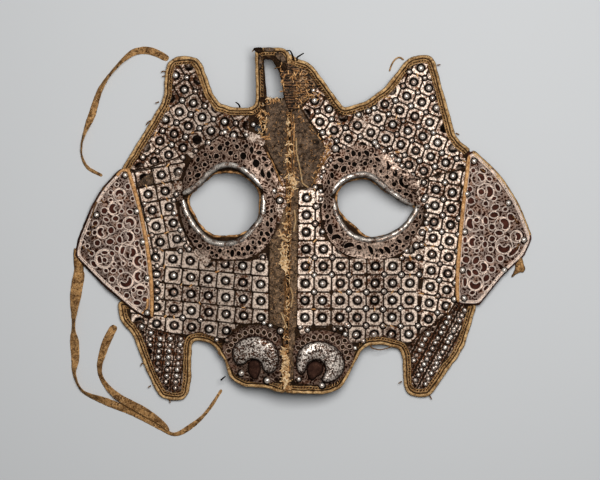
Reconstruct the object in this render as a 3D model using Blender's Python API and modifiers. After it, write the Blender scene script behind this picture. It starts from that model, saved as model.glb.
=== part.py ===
"""Armour for a horse's face: a leather shell in two halves, paved with iron plates, with eye guards,
nostril bosses, cheek flaps, bound edges and tie straps. It lies on its open back, +Y towards the poll
and +Z out of the face. Left and right are as seen from above, so +X is the horse's own left side.
Sizes are in millimetres until they reach Blender."""

import math

import bmesh
import bpy
from mathutils import Vector

MM = 0.001
CENTRE = (-6.5, -1.9)         # middle of the plan, which the origin is moved to

# Layers, counted up from the underside of the shell
GAP = 0.3
LEATHER = 3.0                 # shell
PAVING = 2.0                  # iron plates, and the panels let in between them
BINDING_FOLD = 1.5            # one thickness of the leather that binds the edges
BINDING_WIDTH = 12.0
FLAP_LEATHER = 2.5
FLAP_IRON = 1.8
PANEL_BASE = LEATHER + GAP
PANEL_TOP = PANEL_BASE + PAVING

# The arch of the shell over the horse's face
CROWN = 42.0
CROWN_X = -15.0
CROWN_Y = 40.0
HALF_SPAN = 240.0
SPAN_LOSS = {"poll": 50.0, "nose": 85.0}
LENGTH = {"poll": 235.0, "nose": 270.0}
CROWN_LOSS = 12.0
LIFT = BINDING_FOLD + GAP     # room for the binding's folds
CELL = (24.0, 40.0)           # facets of the curved sheets, along X and Y
ARC_STEP = math.radians(30)   # facets of the rounded corners

RIM = 3.8                     # radius of the rolled rim round an eye
EYE_STEPS = 4                 # facets of each corner round an eye
BROW_RISE = 13.0
LID_RISE = 8.0
GUARD_WALL = 1.4
PIPING = 2.4
RIVET = 5.4
STRAP = 2.0                   # thickness of the tie straps

# Outline of the bound edge, clockwise, as corners with a fillet radius: x, y, radius
FLANK_LEFT = [(-253.5, -90, 3), (-276.5, 105, 2)]
EAR_LEFT = [
    (-234, 174, 60), (-211.5, 212, 30), (-209.5, 275.5, 27),
    (-158, 275.5, 21), (-131, 199, 33), (-73, 197, 12),
]
POLL = [(-75, 287, 2), (-33, 287.5, 5), (-12, 270, 15), (8.5, 264.5, 18), (58, 196.5, 5)]
EAR_RIGHT = [
    (109.5, 214.5, 60), (155, 275.5, 30), (192, 279, 16),
    (218.5, 182, 90), (226.5, 153, 20), (247.5, 137, 4),
]
FLANK_RIGHT = [(256.5, 111, 10), (250.5, 15, 60), (250, -92, 3)]
JAW_RIGHT = [
    (258, -96, 3), (246.5, -135, 60), (236, -168, 60), (219, -189, 40), (186, -236.5, 16),
    (149, -234, 20), (145, -163.5, 12), (102, -154.5, 25), (86, -162, 15),
]
NOSE = [
    (54.5, -223, 25), (28, -230.5, 20), (-36, -228.5, 6), (-58, -221, 6),
    (-93, -219.5, 15), (-112.5, -207, 12), (-124, -167, 35), (-149, -151, 20),
]
JAW_LEFT = [
    (-169.5, -151.5, 7), (-171, -212, 40), (-176.5, -242, 18), (-217.5, -239.5, 24),
    (-240, -191, 60), (-258, -142, 30), (-277, -121, 12), (-282, -91.5, 5),
]
OUTLINE = FLANK_LEFT + EAR_LEFT + POLL + EAR_RIGHT + FLANK_RIGHT + JAW_RIGHT + NOSE + JAW_LEFT

# Torn places in the shell between the left ear and the poll: x, y, radius
POLL_TEAR = [
    (-61.5, 270, 3), (-49.5, 268.5, 2), (-39, 252, 8), (-34.5, 234, 8),
    (-31.5, 211.5, 2), (-57, 211.5, 3), (-59.5, 240, 20),
]
BROW_TEAR = [(-76, 172, 3), (-64, 172, 3), (-64, 161.5, 3), (-75, 163, 3)]

# Eyes, clockwise: part of the rim, then the rim's centre line x, y, radius and flange x, y, radius
EYE_LEFT = [
    ("corner", -182.3, 66, 3, -195, 66, 8),
    ("brow", -133.5, 111, 37, -169.5, 135, 30),
    ("brow", -97, 113.3, 21, -69, 159, 18),
    ("joint", -58.5, 71.3, 8, -27, 75, 15),
    ("lid", -62.3, 27, 31, -39, 22.5, 25),
    ("lid", -88.5, 0, 41, -70.5, -30, 25),
    ("lid", -138, -5.3, 28, -157.5, -30, 22),
    ("lid", -166.5, 24, 85, -186, 22.5, 45),
]
EYE_RIGHT = [
    ("corner", 169.5, 52.5, 3, 184, 57, 8),
    ("lid", 159, 24, 42, 171, 3, 22),
    ("lid", 126, 2.3, 50, 139.5, -25.5, 15),
    ("lid", 78, -0.8, 30, 63, -25.5, 22),
    ("lid", 48.8, 27.8, 40, 25.5, 7.5, 30),
    ("joint", 42, 69.8, 9, 21.8, 67.5, 45),
    ("brow", 58.5, 93.8, 30, 39, 135, 20),
    ("brow", 93, 100.5, 20, 109.5, 139.5, 18),
    ("brow", 126, 68.3, 40, 144, 79.5, 45),
]
# Openings cut in the leather for the eyes: x, y, radius
EYE_HOLES = {
    "left": [
        (-177, 62.3, 3), (-133.5, 102.8, 30), (-93, 99.8, 22), (-67.5, 75, 12),
        (-67.5, 25.5, 38), (-91.5, 5.3, 38), (-144, 5.3, 38), (-163.5, 31.5, 90),
    ],
    "right": [
        (166.5, 51.8, 3), (156, 28.5, 45), (130.5, 6.8, 50), (93, 2.3, 12), (48, 42.8, 18),
        (45.8, 66, 30), (52.5, 82.5, 18), (73.5, 91.5, 30), (97.5, 92.3, 18), (118.5, 71.3, 60),
    ],
}
# How far out from the rim a ring of the guard lies, and its share of the rim's rise
GUARD_PROFILE = [(0.0, 1.0), (0.3, 0.75), (0.6, 0.2), (1.0, 0.0)]

# Edges of the paved fields and of the panels: x, y
TEMPLE_LEFT = [
    (-330, 91), (-232, 110), (-172, 131), (-140, 110), (-84, 120), (-84, 330), (-330, 330),
]
CHEEK_LEFT = [
    (-330, 89), (-232, 108), (-172, 129), (-100, 60), (-54.8, 20), (-54.8, -123.5),
    (-97.5, -124.7), (-115.5, -144.5), (-135, -158), (-165, -147.5), (-231, -131.5),
    (-247.5, -122), (-330, -126),
]
STUDS_LEFT = [
    (-330, -128), (-247.5, -124), (-231, -133.5), (-165, -149.5), (-140, -156),
    (-140, -300), (-330, -300),
]
NOSTRIL_LEFT = [
    (-115, -146.5), (-97, -126.7), (-54, -125.5), (-32.5, -134), (-32.5, -260), (-130, -260),
    (-133, -159),
]
BAND_LEFT = [
    (-46, 84), (-24.3, 84), (-28.6, -250), (-31.5, -250), (-31.5, -133), (-52.9, -123.5), (-52.9, 0),
]
FOREHEAD_LEFT = [(-58.5, 209), (-31, 209), (-24.3, 193), (-24.3, 86), (-60, 86), (-60, 143)]
POLL_PAD = [
    (-36, 330), (60, 330), (18.6, 228.6), (-6, 198.3), (-23, 192), (-29.5, 209.5), (-32, 230),
    (-36, 250),
]
TEMPLE_RIGHT = [
    (-4.2, 196), (20.4, 229), (60, 330), (330, 330), (330, 124), (248, 110), (168, 91.5),
    (120, 80), (40, 132),
]
CHEEK_RIGHT = [
    (-9.2, 76), (30, 78), (120, 76), (168, 89.5), (248, 108), (330, 122), (330, -91),
    (226.5, -92.3), (215.4, -107.5), (166.2, -145), (143, -170), (75, -171), (62.5, -148), (60, -130),
    (-11.8, -130),
]
STUDS_RIGHT = [
    (330, -93), (227.8, -94), (216.8, -109.3), (167.4, -147), (141, -172), (128, -300), (330, -300),
]
NOSTRIL_RIGHT = [
    (-12.4, -132), (58.5, -132), (61, -149), (73, -173), (90, -260), (-21.2, -260), (-21.2, -133.5),
]
BAND_RIGHT = [(-22.6, 76), (-10, 76), (-12.6, -130), (-21.9, -131.5), (-21.9, -250), (-27.2, -250)]
FOREHEAD_RIGHT = [(-22.6, 189.5), (-8, 196), (31, 140), (13, 78), (-22.6, 78)]
BINDING_REACH = {
    "binding_ear_left": [(-330, 103), (-330, 330), (-23.8, 330), (-23.8, 180), (-150, 150), (-250, 103)],
    "binding_ear_right": [(-22.4, 330), (330, 330), (330, 137.5), (190, 137.5), (40, 150), (-22.4, 180)],
    "binding_jaw_left": [(-330, -90), (-240, -90), (-190, -130), (-31.3, -130), (-31.3, -300), (-330, -300)],
    "binding_jaw_right": [(-29.9, -130), (130, -130), (235, -96), (330, -96), (330, -300), (-29.9, -300)],
}
SEAM = [(-23.7, 330), (-23.7, 100), (-31, -300)]

# Nostril bosses: crescents between a round edge and a round notch, open between two angles in degrees
BOSSES = {
    "left": {
        "centre": (-73, -181.5), "radius": 34.5,
        "notch": (-79, -193), "notch_radius": 15, "ends": (-50, 195),
    },
    "right": {
        "centre": (21.8, -185.3), "radius": 36.8,
        "notch": (15, -195), "notch_radius": 13.5, "ends": (-62, 217),
    },
}
BOSS_RISE = 11.0

# Cheek flaps, clockwise: x, y, radius
FLAP_LEFT = [
    (-276, 106.5, 4), (-264, 106.5, 7), (-246, 52.5, 90), (-232.5, -18, 90), (-226.5, -75, 60),
    (-226.5, -121.5, 8), (-255, -107.5, 60), (-303, -66, 90), (-345, -24, 5), (-339, 3, 30),
    (-319.5, 49.5, 90), (-303, 78, 60),
]
FLAP_RIGHT = [
    (243, 131, 3), (253.5, 133.5, 3), (292.5, 97.5, 90), (321, 52.5, 90), (340.5, 3, 12),
    (328.5, -24, 10), (297, -52.5, 60), (261, -97.5, 5), (226.5, -96, 5), (225, -67.5, 60),
    (229.5, 0, 90), (237, 75, 90),
]
HINGE_LEFT = [(-266, 108), (-249, 52.5), (-235, -18), (-229.5, -75), (-229.5, -116)]
HINGE_RIGHT = [(246, 128), (239.5, 75), (232, 0), (227.5, -67.5), (229, -94)]
RIVETS = {
    "flap_rivet_left": [(-269, 97), (-312, 37.5), (-251, 43), (-242, -3), (-235, -57), (-236, -109)],
    "flap_rivet_right": [
        (253, 118), (304.5, 55.5), (242, 69), (238.5, 12), (235.5, -45), (298.5, -45), (328, 0), (238, -87),
    ],
}
HIDDEN_EDGES = {"left": ((-276, 103.5), (-253.5, -90)), "right": ((249, -94.5), (256.5, 111))}
FLAP_CLEAR = PANEL_TOP + GAP + 0.1   # flap over the paving, above the underside of the shell
FLAP_FALL = 44.0                     # width over which a flap drops to the floor

# Tie straps, from where each leaves the armour: x, y, width, twist in degrees, height of what it crosses
TIE_EAR_LEFT = [
    (-204.5, 270.5, 10, 0, 0), (-230, 283.8, 12, 0, 0), (-255, 282.5, 11, 10, 0), (-276.3, 266.3, 9, 50, 0),
    (-295, 244.5, 9, 60, 0), (-308.8, 221.3, 9, 20, 0), (-319.5, 187.5, 11, 0, 0), (-330.5, 160, 9, 60, 0),
    (-336, 135, 7, 70, 0), (-327.5, 110, 6, 40, 0), (-303.8, 96.3, 4, 0, 0),
]
TIE_FLAP_LEFT = [
    (-342, -36.5, 8, 0, 0), (-338.5, -48, 17, 0, 0), (-343.8, -82.5, 17, 0, 0), (-347, -127, 10, 62, 0),
    (-345.7, -152.5, 14, 10, 0), (-344.3, -177.5, 12, 0, 0), (-345.8, -200, 10, 60, 0),
    (-335, -226, 8, 60, 0),
    (-297.5, -242.5, 12, 20, 0), (-255, -260, 10, 0, 0), (-212.5, -283.8, 7, 10, 0), (-197, -292, 6, 30, 0),
    (-177.5, -283.8, 8, 0, 0), (-150, -261.3, 6, 40, 0), (-125, -224.5, 4, 0, 0),
]
TIE_JAW_LEFT = [
    (-284.5, -128, 11, 0, 0), (-297.9, -152.5, 13, 0, 0), (-308.5, -192, 9, 35, 0), (-302, -212.5, 8, 30, 0),
    (-280, -235, 11, 0, 4.5), (-240, -257.5, 13, 0, 3), (-212.5, -276.3, 8, 0, 3), (-203.8, -285.5, 5, 0, 5),
]
STUB_RIGHT = [(323, -36.5, 11, 0, 0), (323.5, -43, 13, 0, 0), (323, -51, 13, 0, 0)]
THONG_RIGHT = [(148, 270), (143.5, 273.5), (139, 273.5), (134, 269.5), (129.5, 262), (126.7, 253)]
THONG = 1.0                   # radius of the thin leather thong at the right ear

COLOURS = {
    "shell_leather": ((0.20, 0.13, 0.08), 0.75, 0.0),
    "dark_leather": ((0.12, 0.09, 0.06), 0.8, 0.0),
    "binding_leather": ((0.50, 0.34, 0.18), 0.7, 0.0),
    "coarse_cloth": ((0.25, 0.16, 0.09), 0.9, 0.0),
    "strap_leather": ((0.36, 0.24, 0.13), 0.75, 0.0),
    "paving_iron": ((0.36, 0.30, 0.27), 0.45, 1.0),
    "guard_iron": ((0.26, 0.21, 0.19), 0.5, 1.0),
    "bright_iron": ((0.62, 0.60, 0.58), 0.3, 1.0),
}


def smooth_step(share):
    share = min(1.0, max(0.0, share))
    return share * share * (3 - 2 * share)


def arch(x, y):
    """Height of the shell's underside at a corner of the lattice."""
    end = "poll" if y > CROWN_Y else "nose"
    share = (y - CROWN_Y) / LENGTH[end]
    half_span = HALF_SPAN - SPAN_LOSS[end] * share ** 2
    crown = CROWN - CROWN_LOSS * share ** 2
    across = min(1.0, abs(x - CROWN_X) / half_span)
    return LIFT + crown * math.cos(across * math.pi / 2) ** 2


def flap_ground(x, y):
    """Underside of a cheek flap: over the shell's hidden edge, then down to the floor."""
    side = "left" if x < 0 else "right"
    start, end = (Vector(place) for place in HIDDEN_EDGES[side])
    beyond = (Vector((x, y)) - start).cross((end - start).normalized())
    fall = smooth_step((beyond - 1.5 * CELL[0]) / FLAP_FALL)
    return arch(x, y) + FLAP_CLEAR - (FLAP_CLEAR + LIFT) * fall


def lattice_height(x, y, ground=arch):
    """Height of the faceted ground at any point, on the same triangles as the sheets."""
    column, row = math.floor(x / CELL[0]), math.floor(y / CELL[1])
    u, v = x / CELL[0] - column, y / CELL[1] - row

    def corner(i, j):
        return ground((column + i) * CELL[0], (row + j) * CELL[1])

    low, high = corner(0, 0), corner(1, 1)
    if u > v:
        side = corner(1, 0)
        return low + u * (side - low) + v * (high - side)
    side = corner(0, 1)
    return low + v * (side - low) + u * (high - side)


def grown(corners, grow):
    """The same clockwise outline moved outwards by grow, with its fillets following."""
    moved = []
    for index, (x, y, radius) in enumerate(corners):
        here = Vector((x, y))
        arriving = (here - Vector(corners[index - 1][:2])).normalized()
        leaving = (Vector(corners[(index + 1) % len(corners)][:2]) - here).normalized()
        outward = Vector((-arriving.y - leaving.y, arriving.x + leaving.x))
        here += outward * grow / (1 + arriving.dot(leaving))
        convex = arriving.cross(leaving) < 0
        moved.append((here.x, here.y, max(0.2, radius + (grow if convex else -grow))))
    return moved


def filleted(corners, steps=None, between=0):
    """Points round the outline: an arc at each corner, and between points on each straight after it."""
    arcs = []
    for index, (x, y, radius) in enumerate(corners):
        here = Vector((x, y))
        back = Vector(corners[index - 1][:2]) - here
        ahead = Vector(corners[(index + 1) % len(corners)][:2]) - here
        turn = math.pi - back.angle(ahead)
        reach = min(radius * math.tan(turn / 2), 0.49 * back.length, 0.49 * ahead.length)
        first, last = here + back.normalized() * reach, here + ahead.normalized() * reach
        count = steps or max(1, round(turn / ARC_STEP))
        arcs.append([
            first * (1 - t) ** 2 + here * 2 * t * (1 - t) + last * t ** 2
            for t in (step / count for step in range(count + 1))
        ])
    points = []
    for index, arc in enumerate(arcs):
        end = arcs[(index + 1) % len(arcs)][0]
        points += arc
        points += [arc[-1].lerp(end, (k + 1) / (between + 1)) for k in range(between)]
    return points


def collection(name):
    made = bpy.data.collections.new(name)
    bpy.context.scene.collection.children.link(made)
    return made


def material(name):
    made = bpy.data.materials.get(name)
    if made is None:
        colour, roughness, metallic = COLOURS[name]
        made = bpy.data.materials.new(name)
        made.use_nodes = True
        shader = made.node_tree.nodes["Principled BSDF"]
        shader.inputs["Base Color"].default_value = (*colour, 1)
        shader.inputs["Roughness"].default_value = roughness
        shader.inputs["Metallic"].default_value = metallic
    return made


def add_part(name, data, slot):
    piece = bpy.data.objects.new(name, data)
    piece.data.materials.append(material(slot))
    piece.parent = frame
    parts.objects.link(piece)
    return piece


def add_cutter(name, data):
    cutter = bpy.data.objects.new(name, data)
    cutter.parent = frame
    cutter.hide_render = True
    cutter.display_type = "WIRE"
    cutters.objects.link(cutter)
    return cutter


def mesh_of(curve, name):
    """The curve's evaluated shape as a closed mesh, with its caps welded."""
    holder = bpy.data.objects.new(name, curve)
    cutters.objects.link(holder)
    bpy.context.view_layer.update()
    graph = bpy.context.evaluated_depsgraph_get()
    mesh = bpy.data.meshes.new_from_object(holder.evaluated_get(graph))
    bpy.data.objects.remove(holder)
    shape = bmesh.new()
    shape.from_mesh(mesh)
    bmesh.ops.remove_doubles(shape, verts=shape.verts, dist=1e-6)
    bmesh.ops.recalc_face_normals(shape, faces=shape.faces)
    shape.to_mesh(mesh)
    shape.free()
    mesh.name = name
    return mesh


def cut(piece, cutter, operation):
    modifier = piece.modifiers.new(cutter.name, "BOOLEAN")
    modifier.operation = operation
    modifier.object = cutter


def prism(name, points, depth=150):
    """An upright block with this plan, as a cutter."""
    curve = bpy.data.curves.new(name, "CURVE")
    curve.dimensions = "2D"
    curve.fill_mode = "BOTH"
    curve.extrude = depth * MM
    spline = curve.splines.new("POLY")
    spline.points.add(len(points) - 1)
    spline.use_cyclic_u = True
    for point, (x, y) in zip(spline.points, points):
        point.co = (x * MM, y * MM, 0, 1)
    return add_cutter(name, mesh_of(curve, name))


def slab(name, reach, low, high, ground=arch):
    """A closed sheet from low to high above the ground, over the lattice cells that reach covers."""
    spans = []
    for axis in (0, 1):
        places = [point[axis] / CELL[axis] for point in reach]
        first = math.floor(min(places)) - 1
        spans.append((first, math.ceil(max(places)) + 1 - first))
    (first_column, columns), (first_row, rows) = spans
    sheet = bmesh.new()
    bmesh.ops.create_grid(sheet, x_segments=columns, y_segments=rows, size=0.5)
    for vert in sheet.verts:
        x = (first_column + (vert.co.x + 0.5) * columns) * CELL[0]
        y = (first_row + (vert.co.y + 0.5) * rows) * CELL[1]
        vert.co = Vector((x, y, ground(x, y) + low)) * MM
    bmesh.ops.triangulate(sheet, faces=sheet.faces, quad_method="FIXED")
    made = bmesh.ops.extrude_face_region(sheet, geom=sheet.faces)["geom"]
    risen = [item for item in made if isinstance(item, bmesh.types.BMVert)]
    bmesh.ops.translate(sheet, verts=risen, vec=(0, 0, (high - low) * MM))
    bmesh.ops.recalc_face_normals(sheet, faces=sheet.faces)
    mesh = bpy.data.meshes.new(name)
    sheet.to_mesh(mesh)
    sheet.free()
    return mesh


def sheet_part(name, slot, outline, low, high, keep=(), holes=(), ground=arch):
    """A part cut from a slab: inside the outline and every prism in keep, outside every one in holes."""
    piece = add_part(name, slab(name, outline, low, high, ground), slot)
    cut(piece, prism(name + "_plan", outline), "INTERSECT")
    for cutter in keep:
        cut(piece, cutter, "INTERSECT")
    for cutter in holes:
        cut(piece, cutter, "DIFFERENCE")
    return piece


def tube(name, points, radius, sides=2, flat=1.0):
    """A round rod through 3D points; radius is one number, or one for each point."""
    radii = radius if isinstance(radius, list) else [radius] * len(points)
    curve = bpy.data.curves.new(name, "CURVE")
    curve.dimensions = "3D"
    curve.bevel_depth = max(radii) * MM
    curve.bevel_resolution = sides
    curve.use_fill_caps = True
    spline = curve.splines.new("POLY")
    spline.points.add(len(points) - 1)
    for point, place, size in zip(spline.points, points, radii):
        point.co = (place[0] * MM, place[1] * MM, place[2] * MM, 1)
        point.radius = size / max(radii)
    mesh = mesh_of(curve, name)
    if flat != 1.0:
        middle = points[len(points) // 2][2] * MM
        for vert in mesh.vertices:
            vert.co.z = middle + (vert.co.z - middle) * flat
    return mesh


def rounded(points, spacing):
    """Points at about this spacing on a smooth curve through the given rows, all columns at once."""
    rows = [Vector(row) for row in points]
    found = []
    for index in range(len(rows) - 1):
        before, here = rows[max(0, index - 1)], rows[index]
        after, beyond = rows[index + 1], rows[min(len(rows) - 1, index + 2)]
        count = max(1, round((after - here).length / spacing))
        for step in range(count):
            t = step / count
            slope_in, slope_out = (after - before) / 2, (beyond - here) / 2
            found.append(
                here * (2 * t ** 3 - 3 * t ** 2 + 1) + slope_in * (t ** 3 - 2 * t ** 2 + t)
                + after * (3 * t ** 2 - 2 * t ** 3) + slope_out * (t ** 3 - t ** 2)
            )
    return found + [rows[-1]]


def shared_cutters():
    """Blocks that several parts are cut with."""
    halves = {}
    for side, shift, far in (("left", -GAP / 2, -400), ("right", GAP / 2, 400)):
        edge = [(x + shift, y) for x, y in SEAM]
        halves[side] = prism("half_" + side, edge + [(far, -300), (far, 330)])
    flanges = {}
    for side, eye in (("left", EYE_LEFT), ("right", EYE_RIGHT)):
        flanges[side] = prism("flange_" + side, eye_ring(grown([row[4:] for row in eye], 1.2)))
    return {
        "halves": halves,
        "flanges": flanges,
        "eyes": {side: prism("eye_" + side, filleted(hole)) for side, hole in EYE_HOLES.items()},
        "tears": [prism("poll_tear", filleted(POLL_TEAR)), prism("brow_tear", filleted(BROW_TEAR))],
        "bound": prism("binding_plan", filleted(OUTLINE)),
        "core": prism("core_plan", filleted(grown(OUTLINE, -BINDING_FOLD))),
        "shell": prism("shell_plan", filleted(grown(OUTLINE, -LIFT))),
        "inner": prism("binding_inner", filleted(grown(OUTLINE, -BINDING_WIDTH))),
        "field": prism("field_plan", filleted(grown(OUTLINE, -BINDING_WIDTH - GAP))),
    }


def add_shell(shared):
    rim = [tuple(point) for point in filleted(OUTLINE)]
    for side in ("left", "right"):
        reach = SEAM + [point for point in rim if (point[0] < SEAM[1][0]) == (side == "left")]
        name = "backing_" + side
        piece = add_part(name, slab(name, reach, 0, LEATHER), "shell_leather")
        cut(piece, shared["shell"], "INTERSECT")
        cut(piece, shared["halves"][side], "INTERSECT")
        for hole in [shared["eyes"][side]] + (shared["tears"] if side == "left" else []):
            cut(piece, hole, "DIFFERENCE")


def add_bindings(shared):
    """Folded leather round the edges: a channel that the shell's edge sits in."""
    rim = filleted(OUTLINE)
    low_x, high_x = min(point.x for point in rim), max(point.x for point in rim)
    low_y, high_y = min(point.y for point in rim), max(point.y for point in rim)
    for name, reach in BINDING_REACH.items():
        near = [(min(high_x, max(low_x, x)), min(high_y, max(low_y, y))) for x, y in reach]
        piece = add_part(name, slab(name, near, -LIFT, PANEL_TOP), "binding_leather")
        cut(piece, shared["bound"], "INTERSECT")
        cut(piece, prism(name + "_reach", reach), "INTERSECT")
        cut(piece, shared["inner"], "DIFFERENCE")
        core = add_cutter(name + "_core", slab(name + "_core", near, -GAP, LEATHER + GAP))
        cut(core, shared["core"], "INTERSECT")
        cut(piece, core, "DIFFERENCE")


def add_paving(shared):
    """The paved fields, each one solid, and the leather and cloth panels between them."""
    field, flanges = shared["field"], shared["flanges"]
    tears = shared["tears"]
    rows = [
        ("plates_temple_left", "paving_iron", TEMPLE_LEFT, PANEL_TOP, [flanges["left"]]),
        ("plates_cheek_left", "paving_iron", CHEEK_LEFT, PANEL_TOP, [flanges["left"]]),
        ("studs_jaw_left", "paving_iron", STUDS_LEFT, PANEL_TOP, []),
        ("plates_temple_right", "paving_iron", TEMPLE_RIGHT, PANEL_TOP, [flanges["right"]]),
        ("plates_cheek_right", "paving_iron", CHEEK_RIGHT, PANEL_TOP, [flanges["right"]]),
        ("studs_jaw_right", "paving_iron", STUDS_RIGHT, PANEL_TOP, []),
        ("nostril_plate_left", "guard_iron", NOSTRIL_LEFT, PANEL_TOP, []),
        ("nostril_plate_right", "guard_iron", NOSTRIL_RIGHT, PANEL_TOP, []),
        ("centre_band_left", "dark_leather", BAND_LEFT, PANEL_TOP - 0.5, [flanges["left"]]),
        ("centre_band_right", "dark_leather", BAND_RIGHT, PANEL_TOP - 0.5, [flanges["right"]]),
        ("forehead_panel_left", "dark_leather", FOREHEAD_LEFT, PANEL_TOP - 0.5, [flanges["left"], tears[1]]),
        ("forehead_panel_right", "dark_leather", FOREHEAD_RIGHT, PANEL_TOP - 0.5, [flanges["right"]]),
        ("poll_pad", "coarse_cloth", POLL_PAD, PANEL_TOP, []),
    ]
    for name, slot, edge, top, holes in rows:
        sheet_part(name, slot, edge, PANEL_BASE, top, keep=[field], holes=holes)


def rim_rise(eye, y):
    """Rise of the rolled rim above the shell: more at the brow than at the lid."""
    corner_y = eye[0][2]
    return LID_RISE + (BROW_RISE - LID_RISE) * smooth_step((y - corner_y + 15) / 40)


def eye_ring(corners):
    """Evenly divided points round an eye, the same number for the rim, the guard and the flange."""
    return filleted(corners, steps=EYE_STEPS, between=1)


def add_eye(side, eye):
    rim = [row[1:4] for row in eye]
    inner = grown(rim, RIM + GAP)
    guard = bmesh.new()
    loops = []
    for share, rise in GUARD_PROFILE:
        ring = [
            tuple(a + (b - a) * share for a, b in zip(near, row[4:])) for near, row in zip(inner, eye)
        ]
        verts = []
        for x, y in eye_ring(ring):
            z = lattice_height(x, y) + LEATHER + 0.6 + rise * rim_rise(eye, y)
            verts.append(guard.verts.new(Vector((x, y, z)) * MM))
        loops.append([guard.edges.new((verts[k - 1], verts[k])) for k in range(len(verts))])
    for near, far in zip(loops, loops[1:]):
        bmesh.ops.bridge_loops(guard, edges=near + far)
    bmesh.ops.recalc_face_normals(guard, faces=guard.faces)
    if sum(face.normal.z for face in guard.faces) < 0:
        bmesh.ops.reverse_faces(guard, faces=guard.faces)
    mesh = bpy.data.meshes.new("eye_guard_" + side)
    guard.to_mesh(mesh)
    guard.free()
    piece = add_part("eye_guard_" + side, mesh, "guard_iron")
    wall = piece.modifiers.new("wall", "SOLIDIFY")
    wall.thickness = GUARD_WALL * MM
    wall.offset = 1

    ring = [
        Vector((x, y, lattice_height(x, y) + LEATHER + rim_rise(eye, y))) for x, y in eye_ring(rim)
    ]
    ring = [ring[EYE_STEPS // 2]] + ring[EYE_STEPS + 1:]
    joint = [row[0] for row in eye].index("joint") * (EYE_STEPS + 2) - EYE_STEPS // 2
    runs = {eye[1][0]: ring[:joint + 1], eye[-1][0]: (ring[joint:] + ring[:1])[::-1]}
    names = {part_of_rim: f"eye_rim_{part_of_rim}_{side}" for part_of_rim in runs}
    add_part(names["brow"], tube(names["brow"], runs["brow"], RIM), "bright_iron")
    lid_run = extended(runs["lid"], -RIM, 0)
    lid_part = add_part(names["lid"], tube(names["lid"], lid_run, RIM), "bright_iron")
    room_run = extended(runs["brow"], 3, GAP)
    cut(lid_part, add_cutter("brow_room_" + side, tube("brow_room", room_run, RIM + GAP)), "DIFFERENCE")


def extended(points, at_start, at_end):
    """The same 3D run, made longer at its two ends."""
    run = [Vector(point) for point in points]
    run[0] += (run[0] - run[1]).normalized() * at_start
    run[-1] += (run[-1] - run[-2]).normalized() * at_end
    return run


def add_nostril(side, boss):
    """A crescent boss and the low leather pad in its notch, both seated on the nostril plate."""
    centre, notch = Vector(boss["centre"]), Vector(boss["notch"])
    offset = notch - centre
    first, last = boss["ends"]
    count = 14
    points, radii = [], []
    for step in range(count + 1):
        angle = math.radians(first + (last - first) * step / count)
        ray = Vector((math.cos(angle), math.sin(angle)))
        across = ray.dot(offset)
        edge = -across + math.sqrt(across ** 2 - offset.length_squared + boss["radius"] ** 2)
        middle = notch + ray * (edge + boss["notch_radius"]) / 2
        points.append((middle.x, middle.y, lattice_height(*middle) + PANEL_TOP))
        end_taper = math.sin(math.pi * (step + 1.6) / (count + 3.2)) ** 0.4
        radii.append((edge - boss["notch_radius"]) / 2 * end_taper)
    name = "nostril_boss_" + side
    dome = add_part(name, tube(name, points, radii, sides=3, flat=BOSS_RISE / max(radii)), "bright_iron")
    reach = [(centre.x - 45, centre.y - 45), (centre.x + 45, centre.y + 45)]
    seat = add_cutter(name + "_seat", slab(name + "_seat", reach, -80, PANEL_TOP + GAP))
    cut(dome, seat, "DIFFERENCE")

    pad = bmesh.new()
    bmesh.ops.create_uvsphere(pad, u_segments=12, v_segments=6, radius=MM)
    size = boss["notch_radius"] - 2.5
    bmesh.ops.scale(pad, verts=pad.verts, vec=(size, size, 5))
    place = (notch.x, notch.y - 1, lattice_height(*notch) + PANEL_TOP)
    bmesh.ops.translate(pad, verts=pad.verts, vec=Vector(place) * MM)
    mesh = bpy.data.meshes.new("nostril_pad_" + side)
    pad.to_mesh(mesh)
    pad.free()
    pad_part = add_part("nostril_pad_" + side, mesh, "dark_leather")
    cut(pad_part, seat, "DIFFERENCE")


def add_flap(side, corners, hinge):
    leather_top = FLAP_LEATHER
    iron_base = leather_top + GAP
    iron_top = iron_base + FLAP_IRON
    outline = filleted(corners)
    sheet_part("flap_leather_" + side, "shell_leather", outline, 0, leather_top, ground=flap_ground)
    iron_plan = filleted(grown(corners, -5.5))
    sheet_part("flap_scroll_" + side, "guard_iron", iron_plan, iron_base, iron_top, ground=flap_ground)
    route = []
    for x, y in rounded(hinge, 22):
        ground = lattice_height(x, y, flap_ground)
        route.append((x, y, ground + leather_top + GAP + PIPING))
    name = "flap_piping_" + side
    piping = add_part(name, tube(name, route, PIPING), "binding_leather")
    for number, (x, y) in enumerate(RIVETS["flap_rivet_" + side], 1):
        rivet_name = f"flap_rivet_{side}_{number}"
        head = bmesh.new()
        bmesh.ops.create_uvsphere(head, u_segments=10, v_segments=5, radius=RIVET * MM)
        bmesh.ops.scale(head, verts=head.verts, vec=(1, 1, 0.8))
        z = lattice_height(x, y, flap_ground) + iron_top + 0.4
        bmesh.ops.translate(head, verts=head.verts, vec=Vector((x, y, z)) * MM)
        mesh = bpy.data.meshes.new(rivet_name)
        head.to_mesh(mesh)
        head.free()
        rivet = add_part(rivet_name, mesh, "bright_iron")
        seat_name = rivet_name + "_seat"
        reach = [(x - 8, y - 8), (x + 8, y + 8)]
        seat = add_cutter(seat_name, slab(seat_name, reach, -60, iron_top + GAP, flap_ground))
        cut(rivet, seat, "DIFFERENCE")
        near = min((Vector(p[:2]) - Vector((x, y))).length for p in route)
        if near < RIVET + 12:
            cut(rivet, clearance_of(side, route), "DIFFERENCE")
    return piping


def clearance_of(side, route):
    """Room round the piping, made once for each flap."""
    name = "piping_room_" + side
    found = bpy.data.objects.get(name)
    return found or add_cutter(name, tube(name, extended(route, 3, 3), PIPING + GAP))


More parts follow.
